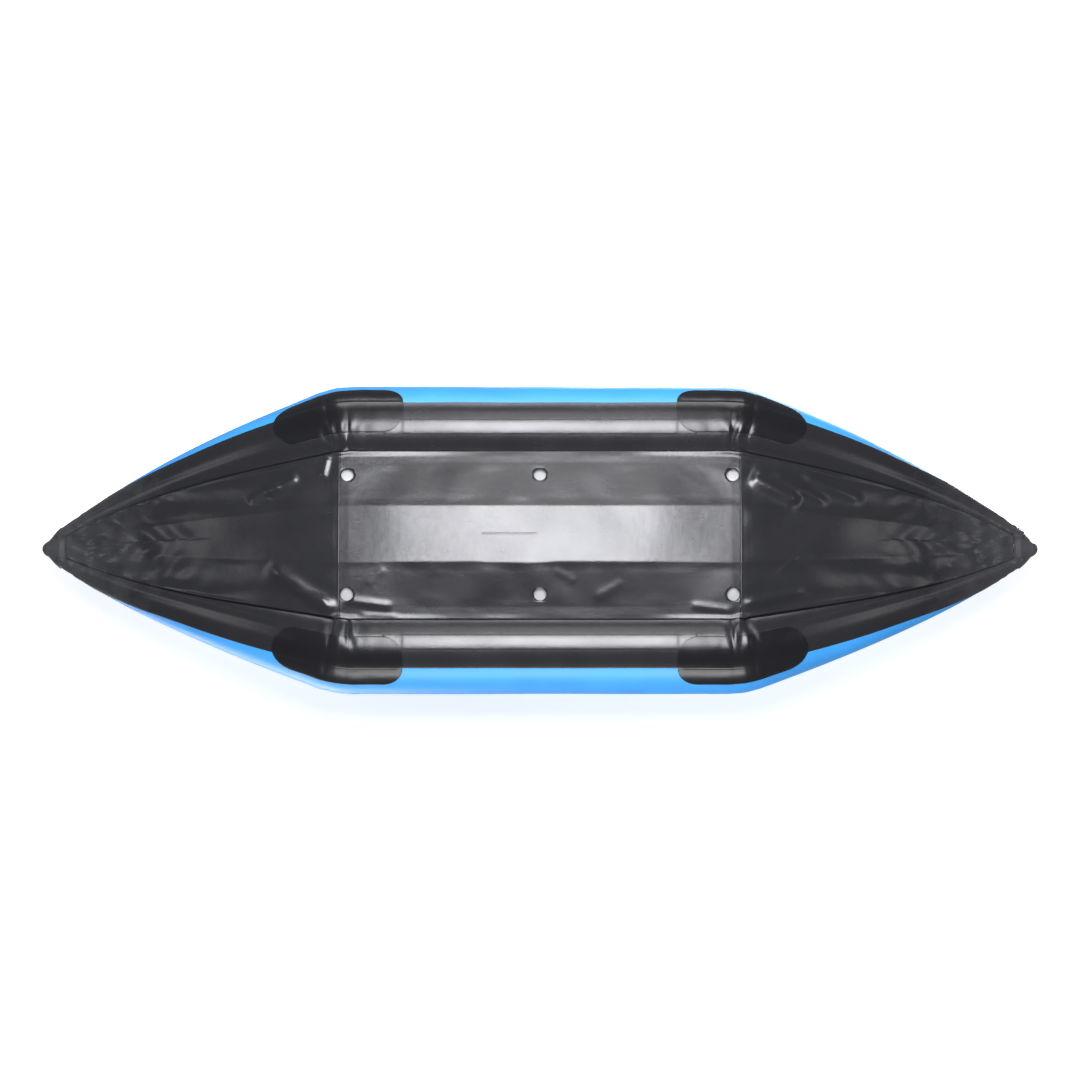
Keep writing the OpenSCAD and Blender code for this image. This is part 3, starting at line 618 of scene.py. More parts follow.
def skin_point(x, t, lift=SKIN_LIFT):
    """Underside of the floor skin. t runs from -1 at the starboard weld to 1 at the port weld."""
    s = np.abs(x)
    share_n = narrow(s)
    edge = weld_y(s, lift)
    y = t * edge
    keel = KEEL_HALF * share_n
    strip = edge - STRIP_W * share_n
    rise = np.clip((np.abs(y) - keel) / (strip - keel), 0, 1)
    # The keel's edges and the inner edge of the strip turn over a short, soft radius.
    soft = 0.05
    low = np.where(rise < soft, rise ** 2 / (2 * soft), rise - soft / 2)
    blend = np.clip((rise - (1 - soft)) / soft, 0, 1)
    low = low / (1 - soft / 2) * (1 - 0.5 * blend) + 0.5 * blend
    straight = np.clip((np.abs(y) - keel) / (edge - keel), 0, 1)
    z = lerp(keel_z(s), weld_z(s, lift) - SKIN_T, lerp(np.clip(low, 0, 1), straight, 0.8 * smooth(0, 0.3, rise)))
    z = np.maximum(z + skin_puff(x, y, rise), 0.0)
    return stack(x, y, z)


def crease(x, y, ax, ay, bx, by, width, height):
    """A fold of that width and height along the line from a to b, fading at both ends."""
    length = math.hypot(bx - ax, by - ay)
    ux, uy = (bx - ax) / length, (by - ay) / length
    along = (x - ax) * ux + (y - ay) * uy
    across = (y - ay) * ux - (x - ax) * uy
    ends = smooth(0, 0.2 * length, along) * smooth(length, 0.8 * length, along)
    return height * ends * bell(across, 0, width)


# Folds of the skin: start, end, width and height. Most fan out from the bends.
FOLDS = (
    ((-0.650, -0.245), (-0.665, -0.175), 0.012, -0.0042),
    ((-0.840, -0.125), (-0.735, -0.190), 0.015, -0.0064),
    ((-0.900, -0.105), (-0.790, -0.165), 0.014, -0.0048),
    ((-0.840, 0.085), (-0.615, 0.245), 0.024, -0.0090),
    ((-0.760, 0.165), (-0.640, 0.205), 0.010, -0.0032),
    ((-0.600, 0.200), (-0.440, 0.222), 0.013, -0.0028),
    ((-0.560, 0.245), (-0.420, 0.252), 0.009, -0.0014),
    ((0.635, -0.192), (0.800, -0.098), 0.026, -0.0112),
    ((0.700, -0.195), (0.890, -0.098), 0.014, -0.0056),
    ((0.790, -0.200), (1.000, -0.110), 0.018, -0.0066),
    ((0.450, 0.215), (0.600, 0.235), 0.012, -0.0020),
    ((0.610, 0.215), (0.820, 0.165), 0.014, -0.0046),
    ((0.720, 0.120), (0.790, 0.060), 0.005, -0.0012),
    ((-0.470, 0.100), (-0.530, 0.160), 0.012, -0.0009),
    ((0.040, 0.105), (0.110, 0.150), 0.012, -0.0009),
    ((0.160, 0.200), (0.260, 0.145), 0.014, -0.0010),
)


def skin_puff(x, y, rise):
    s = np.abs(x)
    flank = smooth(0.0, 0.25, rise) * smooth(1.0, 0.75, rise)
    puff = -0.0006 * ripple(x, y, 31, 0.30, 6)
    puff += 0.0006 * flank * ripple(x * 0.8, y * 0.9, 32, 0.13, 8)
    puff += keel_lift(s) * (1 - 0.7 * rise)
    puff += 0.0012 * smooth(0, 0.04, s - BEND_X) * ripple(x * 0.35, y, 33, 0.08)
    for (ax, ay), (bx, by), width, height in FOLDS:
        puff += crease(x, y, ax, ay, bx, by, width, height)
    # Gathers where the skin ends in the tip cap
    gather = smooth(1.26, 1.40, s)
    puff += 0.0034 * gather * ripple(x, y * 0.8, 34, 0.038)
    puff += 0.0012 * gather * ripple(x * 0.8, y, 36, 0.024, 6)
    puff += 0.0022 * smooth(0.95, 1.25, s) * ripple(x * 0.4, y - 0.3 * s * np.sign(y), 35, 0.05)
    # The edge stays down on the tube, and the keel face stays flat on the ground.
    held = smooth(1.0, 0.93, np.abs(y) / weld_y(s))
    on_ground = smooth(0.015, 0.0, rise) * smooth(0.66, 0.58, s)
    puff = puff * held
    return np.where(on_ground > 0, np.maximum(puff, 0) * on_ground + puff * (1 - on_ground), puff)


def skin_panel(name, stations, columns, lift, nodes, drains=False):
    t = np.linspace(-1, 1, columns)
    under = skin_point(np.asarray(stations)[:, None], t[None, :], lift).reshape(-1, 3)
    faces = grid_faces(len(stations), columns)
    if drains:
        faces, under = punch(faces, under)
    # A hem fills the weld between the skin's edge and the tube.
    hem = np.tile(smooth(0.972, 0.992, np.abs(t)) * (0.0004 + 1.1 * (lift - SKIN_LIFT)), len(stations))
    top = under + stack(0, 0, SKIN_T + hem)
    count = len(under)
    edges = dict.fromkeys((a, b) for f in faces for a, b in zip(f, f[1:] + f[:1]))
    rim = [(b, a, a + count, b + count) for a, b in edges if (b, a) not in edges]
    return face_out(piece(name, np.concatenate([under, top]), faces + flipped(faces, count) + rim, BLACK,
                          np.concatenate([under[:, :2]] * 2), stands_for=nodes, slot="black_fabric"))


def punch(faces, points):
    """Opens the drain holes and draws each hole's rim onto its circle."""
    points = points.copy()
    kept = faces
    for middle in [np.array([x, y]) for x in DRAIN_X for y in (-DRAIN_Y, DRAIN_Y)]:
        offset = points[:, :2] - middle
        distance = np.hypot(offset[:, 0], offset[:, 1])
        inside = distance < DRAIN_R
        kept = [f for f in kept if not any(inside[i] for i in f)]
        used = {i for f in kept for i in f}
        opened = {i for f in faces if any(inside[j] for j in f) for i in f}
        for i in opened & used:
            if DRAIN_R <= distance[i] < DRAIN_R + 0.009:
                points[i, :2] = middle + offset[i] / distance[i] * DRAIN_R
    return kept, points


def floor_skins():
    middle = np.linspace(0.0, BEND_X - 0.0008, 154)
    middle = np.concatenate([[-BEND_X], -middle[:0:-1], middle, [BEND_X]])
    skin_panel("floor_skin_sheet", middle, 131, SKIN_LIFT, ["floor_skin"], drains=True)
    for end_name, way in ENDS:
        x = way * np.linspace(BEND_X + 0.0003, END_X - 0.020, 230)
        skin_panel(end_name + "_skin_sheet", x, 121, END_SKIN_LIFT, [end_name + "_skin"])


# ---------- Parts that several pieces share ----------

def merged(*parts):
    """One set of points, faces and cloth coordinates from several."""
    points, faces, uv, start = [], [], [], 0
    for p, f, t in parts:
        points.append(p)
        faces += [tuple(i + start for i in face) for face in f]
        uv.append(t)
        start += len(p)
    return np.concatenate(points), faces, np.concatenate(uv)


def solid(name, parts, material, **ride):
    points, faces, uv = merged(*parts)
    return face_out(piece(name, points, faces, material, uv, **ride))


def moved(part, matrix):
    """A part turned and placed by a matrix."""
    return placed(part[0], matrix), part[1], part[2]


def loft(rings, uv):
    """A closed form through rings of points, whose ends are drawn together to a middle point."""
    rows, cols = rings.shape[:2]
    first, last, top = rows * cols, rows * cols + 1, (rows - 1) * cols
    faces = grid_faces(rows, cols, wrap=True)
    faces += [(first, (j + 1) % cols, j) for j in range(cols)]
    faces += [(last, top + j, top + (j + 1) % cols) for j in range(cols)]
    points, cloth = (np.concatenate([grid.reshape(-1, grid.shape[-1]), [grid[0].mean(0), grid[-1].mean(0)]])
                     for grid in (rings, uv))
    return points, faces, cloth


def turned(profile, count=64, wave=None):
    """A form turned about Z from (radius, height) pairs. wave(angle, radius, height) moves its surface outwards."""
    profile = np.asarray(profile, float)
    angle = circle(count)[None, :]
    radius, height = profile[:, :1], profile[:, 1:]
    out = radius + (wave(angle, radius, height) if wave else 0)
    rings = stack(out * np.cos(angle), out * np.sin(angle), height)
    return loft(rings, stack(angle * radius, run_along(profile)[:, None]))


def ribbon(path, across, width, thick):
    """Webbing along a path: flat, with rounded selvedges that stand up a little. Closed at both ends."""
    path = np.asarray(path, float)
    across = unit(np.broadcast_to(np.asarray(across, float), path.shape))
    normal = np.cross(unit(np.gradient(path, axis=0)), across)
    w, t = width / 2, thick / 2
    top = [(-w, 0), (-w + 0.3 * t, 0.8 * t), (-w + t, t), (-w + 2.2 * t, 0.75 * t), (0, 0.8 * t),
           (w - 2.2 * t, 0.75 * t), (w - t, t), (w - 0.3 * t, 0.8 * t), (w, 0)]
    section = np.array(top + [(a, -b) for a, b in top[-2:0:-1]])
    rings = path[:, None] + section[None, :, :1] * across[:, None] + section[None, :, 1:] * normal[:, None]
    return loft(rings, stack(run_along(path)[:, None], section[None, :, 0]))


def rope_ring(path, radius, count=10, closed=True):
    """A round cord or piping along a path. A closed one joins its ends."""
    path = np.asarray(path, float)
    ahead = unit(np.roll(path, -1, 0) - np.roll(path, 1, 0) if closed else np.gradient(path, axis=0))
    up = np.where(np.abs(ahead[:, 2:]) > 0.9, [[1.0, 0, 0]], [[0, 0, 1.0]])
    right = unit(np.cross(ahead, up))
    up = np.cross(right, ahead)
    a = circle(count)[None, :, None]
    rings = path[:, None] + radius * (np.cos(a) * right[:, None] + np.sin(a) * up[:, None])
    uv = stack(run_along(path)[:, None], radius * a[..., 0])
    if closed:
        return rings.reshape(-1, 3), ring_faces(len(path), count), uv.reshape(-1, 2)
    return loft(rings, uv)


def rounded_outline(half_x, half_y, corner, count):
    """Evenly spaced points round a rectangle with round corners, and the distance walked to each."""
    a = np.linspace(0, 2 * math.pi, 721)
    x = np.where(np.cos(a) >= 0, 1, -1) * (half_x - corner) + corner * np.cos(a)
    y = np.where(np.sin(a) >= 0, 1, -1) * (half_y - corner) + corner * np.sin(a)
    x[-1], y[-1] = x[0], y[0]
    run = run_along(stack(x, y))
    at = np.linspace(0, run[-1], count, endpoint=False)
    return stack(np.interp(at, run, x), np.interp(at, run, y)), at


def edge_distance(x, y, half_x, half_y, corner):
    """How far a point lies inside a rectangle with round corners."""
    qx, qy = np.abs(x) - half_x + corner, np.abs(y) - half_y + corner
    outside = np.hypot(np.maximum(qx, 0), np.maximum(qy, 0))
    return corner - outside - np.minimum(np.maximum(qx, qy), 0)


def stitch_tree():
    """Geometry Nodes that lay stitches end to end along the edges of a mesh."""
    tree = bpy.data.node_groups.new("stitch_run", "GeometryNodeTree")
    sockets = tree.interface
    sockets.new_socket("Geometry", in_out="INPUT", socket_type="NodeSocketGeometry")
    for label in ("Pitch", "Length", "Thickness"):
        sockets.new_socket(label, in_out="INPUT", socket_type="NodeSocketFloat")
    sockets.new_socket("Thread", in_out="INPUT", socket_type="NodeSocketMaterial")
    sockets.new_socket("Geometry", in_out="OUTPUT", socket_type="NodeSocketGeometry")
    given, curve, points, ball, scale, drawn, spots, real, coat, out = [tree.nodes.new(kind) for kind in (
        "NodeGroupInput", "GeometryNodeMeshToCurve", "GeometryNodeCurveToPoints", "GeometryNodeMeshUVSphere",
        "ShaderNodeCombineXYZ", "GeometryNodeTransform", "GeometryNodeInstanceOnPoints",
        "GeometryNodeRealizeInstances", "GeometryNodeSetMaterial", "NodeGroupOutput")]
    points.mode = "LENGTH"
    for socket, value in (("Segments", 6), ("Rings", 4), ("Radius", 0.5)):
        ball.inputs[socket].default_value = value
    for source, output, target, socket in (
            (given, "Geometry", curve, "Mesh"), (curve, "Curve", points, "Curve"), (given, "Pitch", points, "Length"),
            (given, "Thickness", scale, "X"), (given, "Thickness", scale, "Y"), (given, "Length", scale, "Z"),
            (ball, "Mesh", drawn, "Geometry"), (scale, "Vector", drawn, "Scale"), (points, "Points", spots, "Points"),
            (drawn, "Geometry", spots, "Instance"), (points, "Rotation", spots, "Rotation"),
            (spots, "Instances", real, "Geometry"), (real, "Geometry", coat, "Geometry"),
            (given, "Thread", coat, "Material"), (coat, "Geometry", out, "Geometry")):
        tree.links.new(source.outputs[output], target.inputs[socket])
    return tree


STITCH_TREE = stitch_tree()
STITCH_SIZES = {"Pitch": 0.0034, "Length": 0.0027, "Thickness": 0.0008, "Thread": THREAD}


def stitches(name, runs, body="hull", blend=None):
    """A row of stitches along each run of points."""
    edges, start = [], 0
    for run in runs:
        edges += [(start + i, start + i + 1) for i in range(len(run) - 1)]
        start += len(run)
    mesh = bpy.data.meshes.new(name + "_runs")
    mesh.from_pydata([tuple(p) for p in np.concatenate(runs)], edges, [])
    obj = linked(name, mesh)
    modifier = obj.modifiers.new("stitches", "NODES")
    modifier.node_group = STITCH_TREE
    for item in STITCH_TREE.interface.items_tree:
        if item.in_out == "INPUT" and item.name in STITCH_SIZES:
            modifier[item.identifier] = STITCH_SIZES[item.name]
    bpy.context.view_layer.update()
    plain = bpy.data.meshes.new_from_object(obj.evaluated_get(bpy.context.evaluated_depsgraph_get()))
    plain.name = name
    obj.modifiers.remove(modifier)
    obj.data = plain
    plain.polygons.foreach_set("use_smooth", [True] * len(plain.polygons))
    if blend:
        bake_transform(obj)
        return obj
    return seat(obj, body, slot="webbing")


def arc(centre, radius, start, end, count):
    """Points on an arc in a plane, from angle start to end, in degrees."""
    a = np.radians(np.linspace(start, end, count))
    return stack(centre[0] + radius * np.cos(a), centre[1] + radius * np.sin(a))


# ---------- Tips ----------

def tip_caps():
    """Moulded rubber noses welded over both tube ends, puckered towards the point."""
    back, shoulder, nose, point_r = END_X - 0.022, END_X + 0.002, 1.5495, 0.021
    point_x = nose - point_r
    t = np.concatenate([[0, 0.012, 0.03, 0.045], np.linspace(0.06, 0.75, 30),
                        0.75 + 0.25 * np.sin(np.linspace(0.05, math.pi / 2, 24))])[:, None]
    x = lerp(back, nose, t)
    flare = (0.35 * smooth(shoulder - 0.004, nose - 0.004, x)
             + 0.65 * np.clip((x - shoulder) / (point_x - shoulder), 0, 1))
    round_off = np.sqrt(np.clip(1 - np.clip((x - point_x) / point_r, 0, 1) ** 2, 0, 1))
    half_w, half_h = (lerp(half, point_r, flare) * round_off for half in (0.0615, 0.0335))
    middle = lerp(float(path_z(np.array(back))), TUBE_Z + ROCKER + 0.012, t ** 0.8)
    a = circle(120)[None, :]

    def squarish(wave):
        return np.sign(wave) * np.abs(wave) ** (2 / 2.35)

    collar = 1 + 0.035 * bell(t, 0.045, 0.028) - 0.05 * (t < 0.008)
    pucker = 1 + 0.028 * smooth(0.05, 0.25, t) * smooth(1, 0.75, t) * ripple(a * 0.02, t * 0.02, 51, 0.012)
    scale = collar * pucker
    # A flat weld line runs round the nose at its widest, from side to side
    weld = 1 + 0.05 * bell(np.sin(a), 0, 0.10) * smooth(0.1, 0.3, t) * smooth(1, 0.9, t)
    rings = stack(x, half_w * scale * weld * squarish(np.cos(a)), middle + half_h * scale * squarish(np.sin(a)))
    for end_name, way in ENDS:
        solid(end_name + "_nose_cap", [loft(rings * np.array([way, 1, 1]), stack(x, 0.05 * a))], BLACK,
              stands_for=[end_name + "_tip_cap"], slot="black_rubber")


# ---------- Floor mattress ----------

MATTRESS_HALF = 0.98
MATTRESS_T = 0.104
CHANNELS = 4


def mattress_bottom(s):
    return keel_z(s) + SKIN_T + 0.0003 + keel_lift(s)


def mattress_top(s):
    return keel_z(s) + SKIN_T + 0.0003 + MATTRESS_T * (1 - 0.3 * (s / MATTRESS_HALF) ** 2)


def tube_inside(s, z):
    """How far from the middle the tube's inner side stands at that height."""
    dz = (z - path_z(s)) / stretch(path_z, s)
    reach = path_r(s) + 0.0065
    return path_y(s) - stretch(path_y, s) * np.sqrt(np.maximum(reach ** 2 - dz ** 2, 0))


def mattress():
    """An air mattress of four channels side by side, with a welded flange round its edge."""
    x = MATTRESS_HALF * np.sin(np.linspace(-1, 1, 150) * math.pi / 2)
    s = np.abs(x)
    end = np.clip((MATTRESS_HALF - s) / 0.055, 0, 1)
    full = np.sqrt(1 - (1 - end) ** 2)
    low, top = mattress_bottom(s) + 0.0012, mattress_top(s)
    side = lerp(low, top, 0.52)
    edge, shoulder = tube_inside(s, side) - 0.004, tube_inside(s, top) - 0.012
    foot, keel = 0.134 * narrow(s), KEEL_HALF * narrow(s) - 0.004
    flank_share = (foot - keel) / (weld_y(s) - STRIP_W * narrow(s) - keel)
    flank = lerp(keel_z(s), weld_z(s) - SKIN_T, np.clip(flank_share, 0, 1)) + 0.010
    pitch = shoulder / (CHANNELS / 2) * 0.985
    # Half of the outline: keel face, flank, the side against the tube, the crown of the outer channel, the top
    rows = []
    for i in range(len(x)):
        knots = np.array([
            (0, low[i]), (keel[i], low[i]), (foot[i], flank[i]), (edge[i], side[i]),
            (lerp(edge[i], shoulder[i], 0.45), lerp(side[i], top[i], 0.72)), (shoulder[i] - 0.004, top[i] - 0.006)])
        run = run_along(knots)
        at = np.linspace(0, run[-1], 46)
        under = stack(*(np.interp(at, run, knots[:, k]) for k in (0, 1)))
        for _ in range(3):
            under[1:-1] = (under[:-2] + 2 * under[1:-1] + under[2:]) / 4
        y = shoulder[i] * (1 - np.linspace(0, 1, 60)[1:])
        web = np.abs(((y / pitch[i]) % 1) - 0.5) * 2
        valley = 0.015 * np.exp(-((1 - web) * pitch[i] / 0.030) ** 1.2)
        half = np.concatenate([under, stack(y, top[i] - valley - 0.010 * smooth(0.8, 1, y / shoulder[i]))])
        middle = lerp(low[i], top[i], 0.5)
        half[:, 1] = middle + (half[:, 1] - middle) * full[i]
        rows.append(np.concatenate([half, half[-2:0:-1] * np.array([-1, 1])]))
    rings = np.stack(rows)
    points = stack(x[:, None], rings[..., 0], rings[..., 1])
    # Small puckers along the welds and the ends
    near_end = smooth(0.16, 0.0, MATTRESS_HALF - s)[:, None]
    upper = smooth(0.3, 0.8, (points[..., 2] - low[:, None]) / MATTRESS_T)
    points[..., 2] += upper * (0.0010 + 0.0030 * near_end) * ripple(points[..., 0], points[..., 1], 61, 0.045)
    points[..., 2] += upper * 0.0012 * ripple(points[..., 0] * 3, points[..., 1] * 0.3, 62, 0.06)
    uv = stack(points[..., 0], points[..., 1] + points[..., 2])
    obj = solid("air_floor_mattress", [loft(points, uv)], MATTRESS, stands_for=["floor_mattress", "mattress_webs"],
                slot="mattress_fabric")
    # The flange where top and bottom are welded
    outline = []
    for way in (1, -1):
        x = np.linspace(-0.955, 0.955, 110) * way
        z = lerp(mattress_bottom(np.abs(x)), mattress_top(np.abs(x)), 0.5)
        outline.append(stack(x, (tube_inside(np.abs(x), z) - 0.0035) * way, z))
    closed = np.concatenate([*outline, outline[0][:1]])
    run = run_along(closed)
    at = np.linspace(0, run[-1], 320, endpoint=False)
    even = stack(*(np.interp(at, run, closed[:, k]) for k in range(3)))
    solid("mattress_welded_edge", [rope_ring(even, 0.0022, 8)], MATTRESS, slot="mattress_fabric")


# ---------- Seat, backrest and footrest ----------

SEAT_X, SEAT_HALF_X, SEAT_HALF_Y = -0.150, 0.170, 0.165
HINGE = Vector((-0.296, 0, 0.2045))
LEAN = math.radians(12)
BACK_HALF_Y = 0.160
BACK_T = 0.040
BACK_HEIGHT = 0.330
TAB_HEIGHT = 0.62 * BACK_HEIGHT


def cushion(name, half_x, half_y, low, high, corner, matrix, channels, body="hull", stands_for=(), seed=70,
            flat_base=True):
    """A sewn pad with a seam round its middle, drawn-in sides and quilted channels.

    low and high are its faces, and channels the places of the seams across X.
    """
    outline, at = rounded_outline(half_x, half_y, corner, 200)
    perimeter = at[-1] + at[1]
    inwards = 1 - np.concatenate([np.linspace(0, 0.30, 26), np.linspace(0.33, 0.985, 38)])[:, None]
    half_t, centre = (high - low) / 2, (high + low) / 2
    deep = min(0.011, 0.5 * half_t)
    edge = min(half_t * 1.15, 0.9 * min(half_x, half_y))
    x, y = outline[:, 0] * inwards, outline[:, 1] * inwards
    d = edge_distance(x, y, half_x, half_y, corner)
    groove = np.max([np.exp(-(np.abs(x - place) / 0.011) ** 1.3) for place in channels], 0)
    pinch = 0.003 * np.exp(-d / 0.015) * (0.5 + 0.5 * np.cos(8 * math.pi * at / perimeter))
    sides = []
    for up in (1, -1):
        height = half_t * np.sqrt(np.clip(1 - (1 - np.clip(d / edge, 0, 1)) ** 2.6, 0, 1))
        pucker = np.exp(-d / 0.020) * smooth(0.0, 0.006, d)
        if up > 0 or not flat_base:
            height += 0.006 * smooth(0, 0.10, d) * (1 - groove) - 0.006 - deep * groove * smooth(0.004, 0.03, d)
            height += 0.0010 * ripple(x, y, seed + 5 + up, 0.07) * smooth(0, 0.03, d)
            pucker += 0.5 * np.exp(-(1 - groove) * 3) * smooth(0.01, 0.03, d)
        height += 0.0011 * pucker * ripple(at, d * 0.15, seed + up, 0.020, 8)
        sides.append(stack(x * (1 - pinch / half_x), y * (1 - pinch / half_y), centre + up * height))
    rings = np.concatenate([sides[0][::-1], sides[1][1:]])
    obj = solid(name, [moved(loft(rings, rings[..., :2]), matrix)], SEAT, body=body, stands_for=stands_for,
                slot="seat_fabric")
    seam = stack(outline[:, 0] * 1.003, outline[:, 1] * 1.003, centre)
    solid(name + "_piping", [moved(rope_ring(seam, 0.0026), matrix)], SEAT_PIPING, body=body, slot="seat_fabric")
    # Stitches along the channels, set into their grooves
    line = np.linspace(-half_y + 0.026, half_y - 0.026, 60)
    runs = [placed(stack(place, line, centre + half_t - deep - 0.0062), matrix) for place in channels]
    stitches(name + "_stitches", runs, body=body)


def back_matrix():
    """The backrest's own frame: X up the pad, Y across, Z forwards, with its origin on the hinge axis."""
    up = Vector((-math.sin(LEAN), 0, math.cos(LEAN)))
    forward = Vector((math.cos(LEAN), 0, math.sin(LEAN)))
    turn = Matrix((up, Vector((0, -1, 0)), forward)).transposed()
    return Matrix.Translation(HINGE) @ turn.to_4x4()


def seat_pad():
    low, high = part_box("seat_cushion")
    cushion("seat_pad", SEAT_HALF_X, SEAT_HALF_Y, low.z, high.z, 0.045, Matrix.Translation((SEAT_X, 0, 0)),
            (-0.062, 0.055), stands_for=["seat_cushion"])


def back_pad():
    half = BACK_HEIGHT / 2
    m = back_matrix()
    cushion("back_pad", half, BACK_HALF_Y, -BACK_T / 2, BACK_T / 2, 0.040,
            m @ Matrix.Translation((half - BACK_T / 2, 0, 0)), (-0.055, 0.050), body="backrest",
            stands_for=["backrest"], seed=80, flat_base=False)
    # A band of webbing behind the backrest from tab to tab
    behind = -BACK_T / 2 - 0.0014
    y = np.linspace(-BACK_HALF_Y - 0.001, BACK_HALF_Y + 0.001, 50)
    line = stack(TAB_HEIGHT, y, behind + 0.010 * smooth(0.135, BACK_HALF_Y, np.abs(y)))
    solid("back_band", [moved(ribbon(line, (1, 0, 0), STRAP_W, STRAP_T), m)], TAPE, body="backrest", slot="webbing")
    rows = [stack(TAB_HEIGHT + off, np.linspace(-0.125, 0.125, 40), behind - 0.0009) for off in (-0.0095, 0.0095)]
    stitches("back_band_stitches", [placed(row, m) for row in rows], body="backrest")


def foot_bolster():
    """An inflated roll across the floor. Its round ends are gathered."""
    low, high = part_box("footrest")
    radius, half = (high.z - low.z) / 2, (high.y - low.y) / 2
    middle = (low + high) / 2
    corner = 0.034
    face_r, shoulder = radius - corner, half - corner
    end = [(r, half - 0.004 + 0.004 * (r / face_r) ** 2) for r in np.linspace(0.002, face_r, 12)]
    end += [(face_r + corner * math.sin(a), shoulder + corner * math.cos(a))
            for a in np.linspace(0, math.pi / 2, 16)[1:]]
    end += [(radius, z) for z in np.linspace(shoulder, 0, 20)[1:]]

    def wave(angle, r, z):
        gather = smooth(half - 0.085, half - 0.012, np.abs(z)) * smooth(0.004, 0.03, r)
        folds = ripple(angle * 0.07, 0.10 * z, 91, 0.020)
        return 0.0016 * gather * folds - 0.0016 * bell(np.abs(z), shoulder, 0.0025) - 0.0008

    roll = turned(end + [(r, -z) for r, z in end[-2::-1]], 140, wave)
    turn = Matrix.Translation(middle) @ Matrix.Rotation(math.pi / 2, 4, "X")
    obj = solid("foot_bolster", [moved(roll, turn)], SEAT, stands_for=["footrest"], slot="seat_fabric")
    a, seam_r = circle(120), radius - 0.0012
    rings = [rope_ring(stack(middle.x + seam_r * np.cos(a), side * shoulder, middle.z + seam_r * np.sin(a)), 0.0014, 8)
             for side in (-1, 1)]
    solid("foot_bolster_seams", rings, SEAT_PIPING, slot="seat_fabric")


# ---------- Webbing: seat straps, ring loops, handles ----------

STRAP_W, STRAP_T = 0.025, 0.0016
RING_X, RING_Z, RING_WIRE, RING_NECK, RING_BEND = 0.400, 0.0059, 0.0025, 0.006, 0.0215
SEAT_RING_X = (-0.426, 0.190)
SEAT_RING_ANGLE = -128


def straps():
    """Straps from the seat rings to the backrest's tabs, folded back on themselves and sewn at both ends."""
    near, far, half = 0.014, 0.052, 0.010
    for name in ("rear", "front"):
        low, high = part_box(name + "_straps")
        ring_x, tab_x = (low.x, high.x) if name == "rear" else (high.x, low.x)
        points = np.array([v.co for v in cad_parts[name + "_straps"].data.vertices])
        port = points[points[:, 1] > 0]
        a, b = (port[np.abs(port[:, 0] - x) < 0.014].mean(0) for x in (ring_x, tab_x))
        along = unit(b - a)
        face = unit(np.array([0, 1, 0]) - along[1] * along)
        across = np.cross(along, face)
        t = np.linspace(0, 1, 90)[:, None]
        # The free length hangs a little slack.
        lines = [a + (b - a) * t - 0.006 * np.sin(math.pi * t) * np.array([0, 0, 1.0])]
        sewn = []
        for end, inwards in ((a, along), (b, -along)):
            lines.append(end + np.outer(np.linspace(0.004, 0.060, 16), inwards) - 0.0020 * face)
            under = end - 0.0030 * face
            sewn += [under + inwards * u + np.outer(np.linspace(-half, half, 8), across) for u in (near, far)]
            cross = [under + inwards * u + across * v for u, v in (
                (near, -half), (far, half), (far, -half), (near, half), (near, -half), (far, -half), (far, half),
                (near, half))]
            sewn.append(np.concatenate([np.linspace(p, q, 12) for p, q in zip(cross, cross[1:])]))
        flips = [np.array([1, side, 1]) for side in (1, -1)]
        obj = solid(name + "_strap_webbing",
                    [ribbon(line * flip, across * flip, STRAP_W, STRAP_T) for flip in flips for line in lines],
                    TAPE, slot="webbing")
        obj.parent = None
        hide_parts(name + "_straps")
        # Blended along the strap, from its end at the ring to its end at the tab
        # blend names the hull, the backrest and the strap's ends at the ring and at the tab; the stitches only take it
        # as a sign to stay unparented
        blend = ("hull", "backrest", tuple(a * np.array([1, 0, 1])), tuple(b * np.array([1, 0, 1])))
        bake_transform(obj)
        stitches(name + "_strap_stitches", [run * flip for flip in flips for run in sewn], blend=blend)


def strap_tabs():
    """Folded and sewn webbing tabs at the sides of the backrest."""
    m = back_matrix()
    parts = []
    for side in (1, -1):
        y = side * (BACK_HALF_Y + 0.0023)
        layer = np.linspace(-0.013, 0.010, 16)
        loop = np.concatenate([stack(TAB_HEIGHT, y - side * 0.0008, layer),
                               [(TAB_HEIGHT, y + side * 0.0004, 0.0132)],
                               stack(TAB_HEIGHT, y + side * 0.0016, layer[::-1])])
        parts.append(moved(ribbon(loop, (1, 0, 0), 0.027, 0.0018), m))
    solid("strap_tab_webbing", parts, TAPE, body="backrest", stands_for=["strap_tabs"], slot="webbing")


def tube_matrix(side, x, angle):
    """A frame on the straight part of a tube: X along the hull, Z outwards. The starboard one is a mirror image."""
    turn = Matrix.Rotation(math.radians(angle + 180), 4, "X")
    port = Matrix.Translation((x, TUBE_Y, TUBE_Z)) @ turn @ Matrix.Translation((0, 0, TUBE_R))
    return Matrix.Diagonal((1, side, 1, 1)) @ port


def ring_seats():
    places = [(side, x, 180) for _, side in SIDES for x in (-RING_X, RING_X)]
    return places + [(side, x, SEAT_RING_ANGLE) for _, side in SIDES for x in SEAT_RING_X]


def tube_drop(y):
    """How far the tube's curve falls away at that distance from its crown, as a negative height."""
    return np.sqrt(TUBE_R ** 2 - y ** 2) - TUBE_R


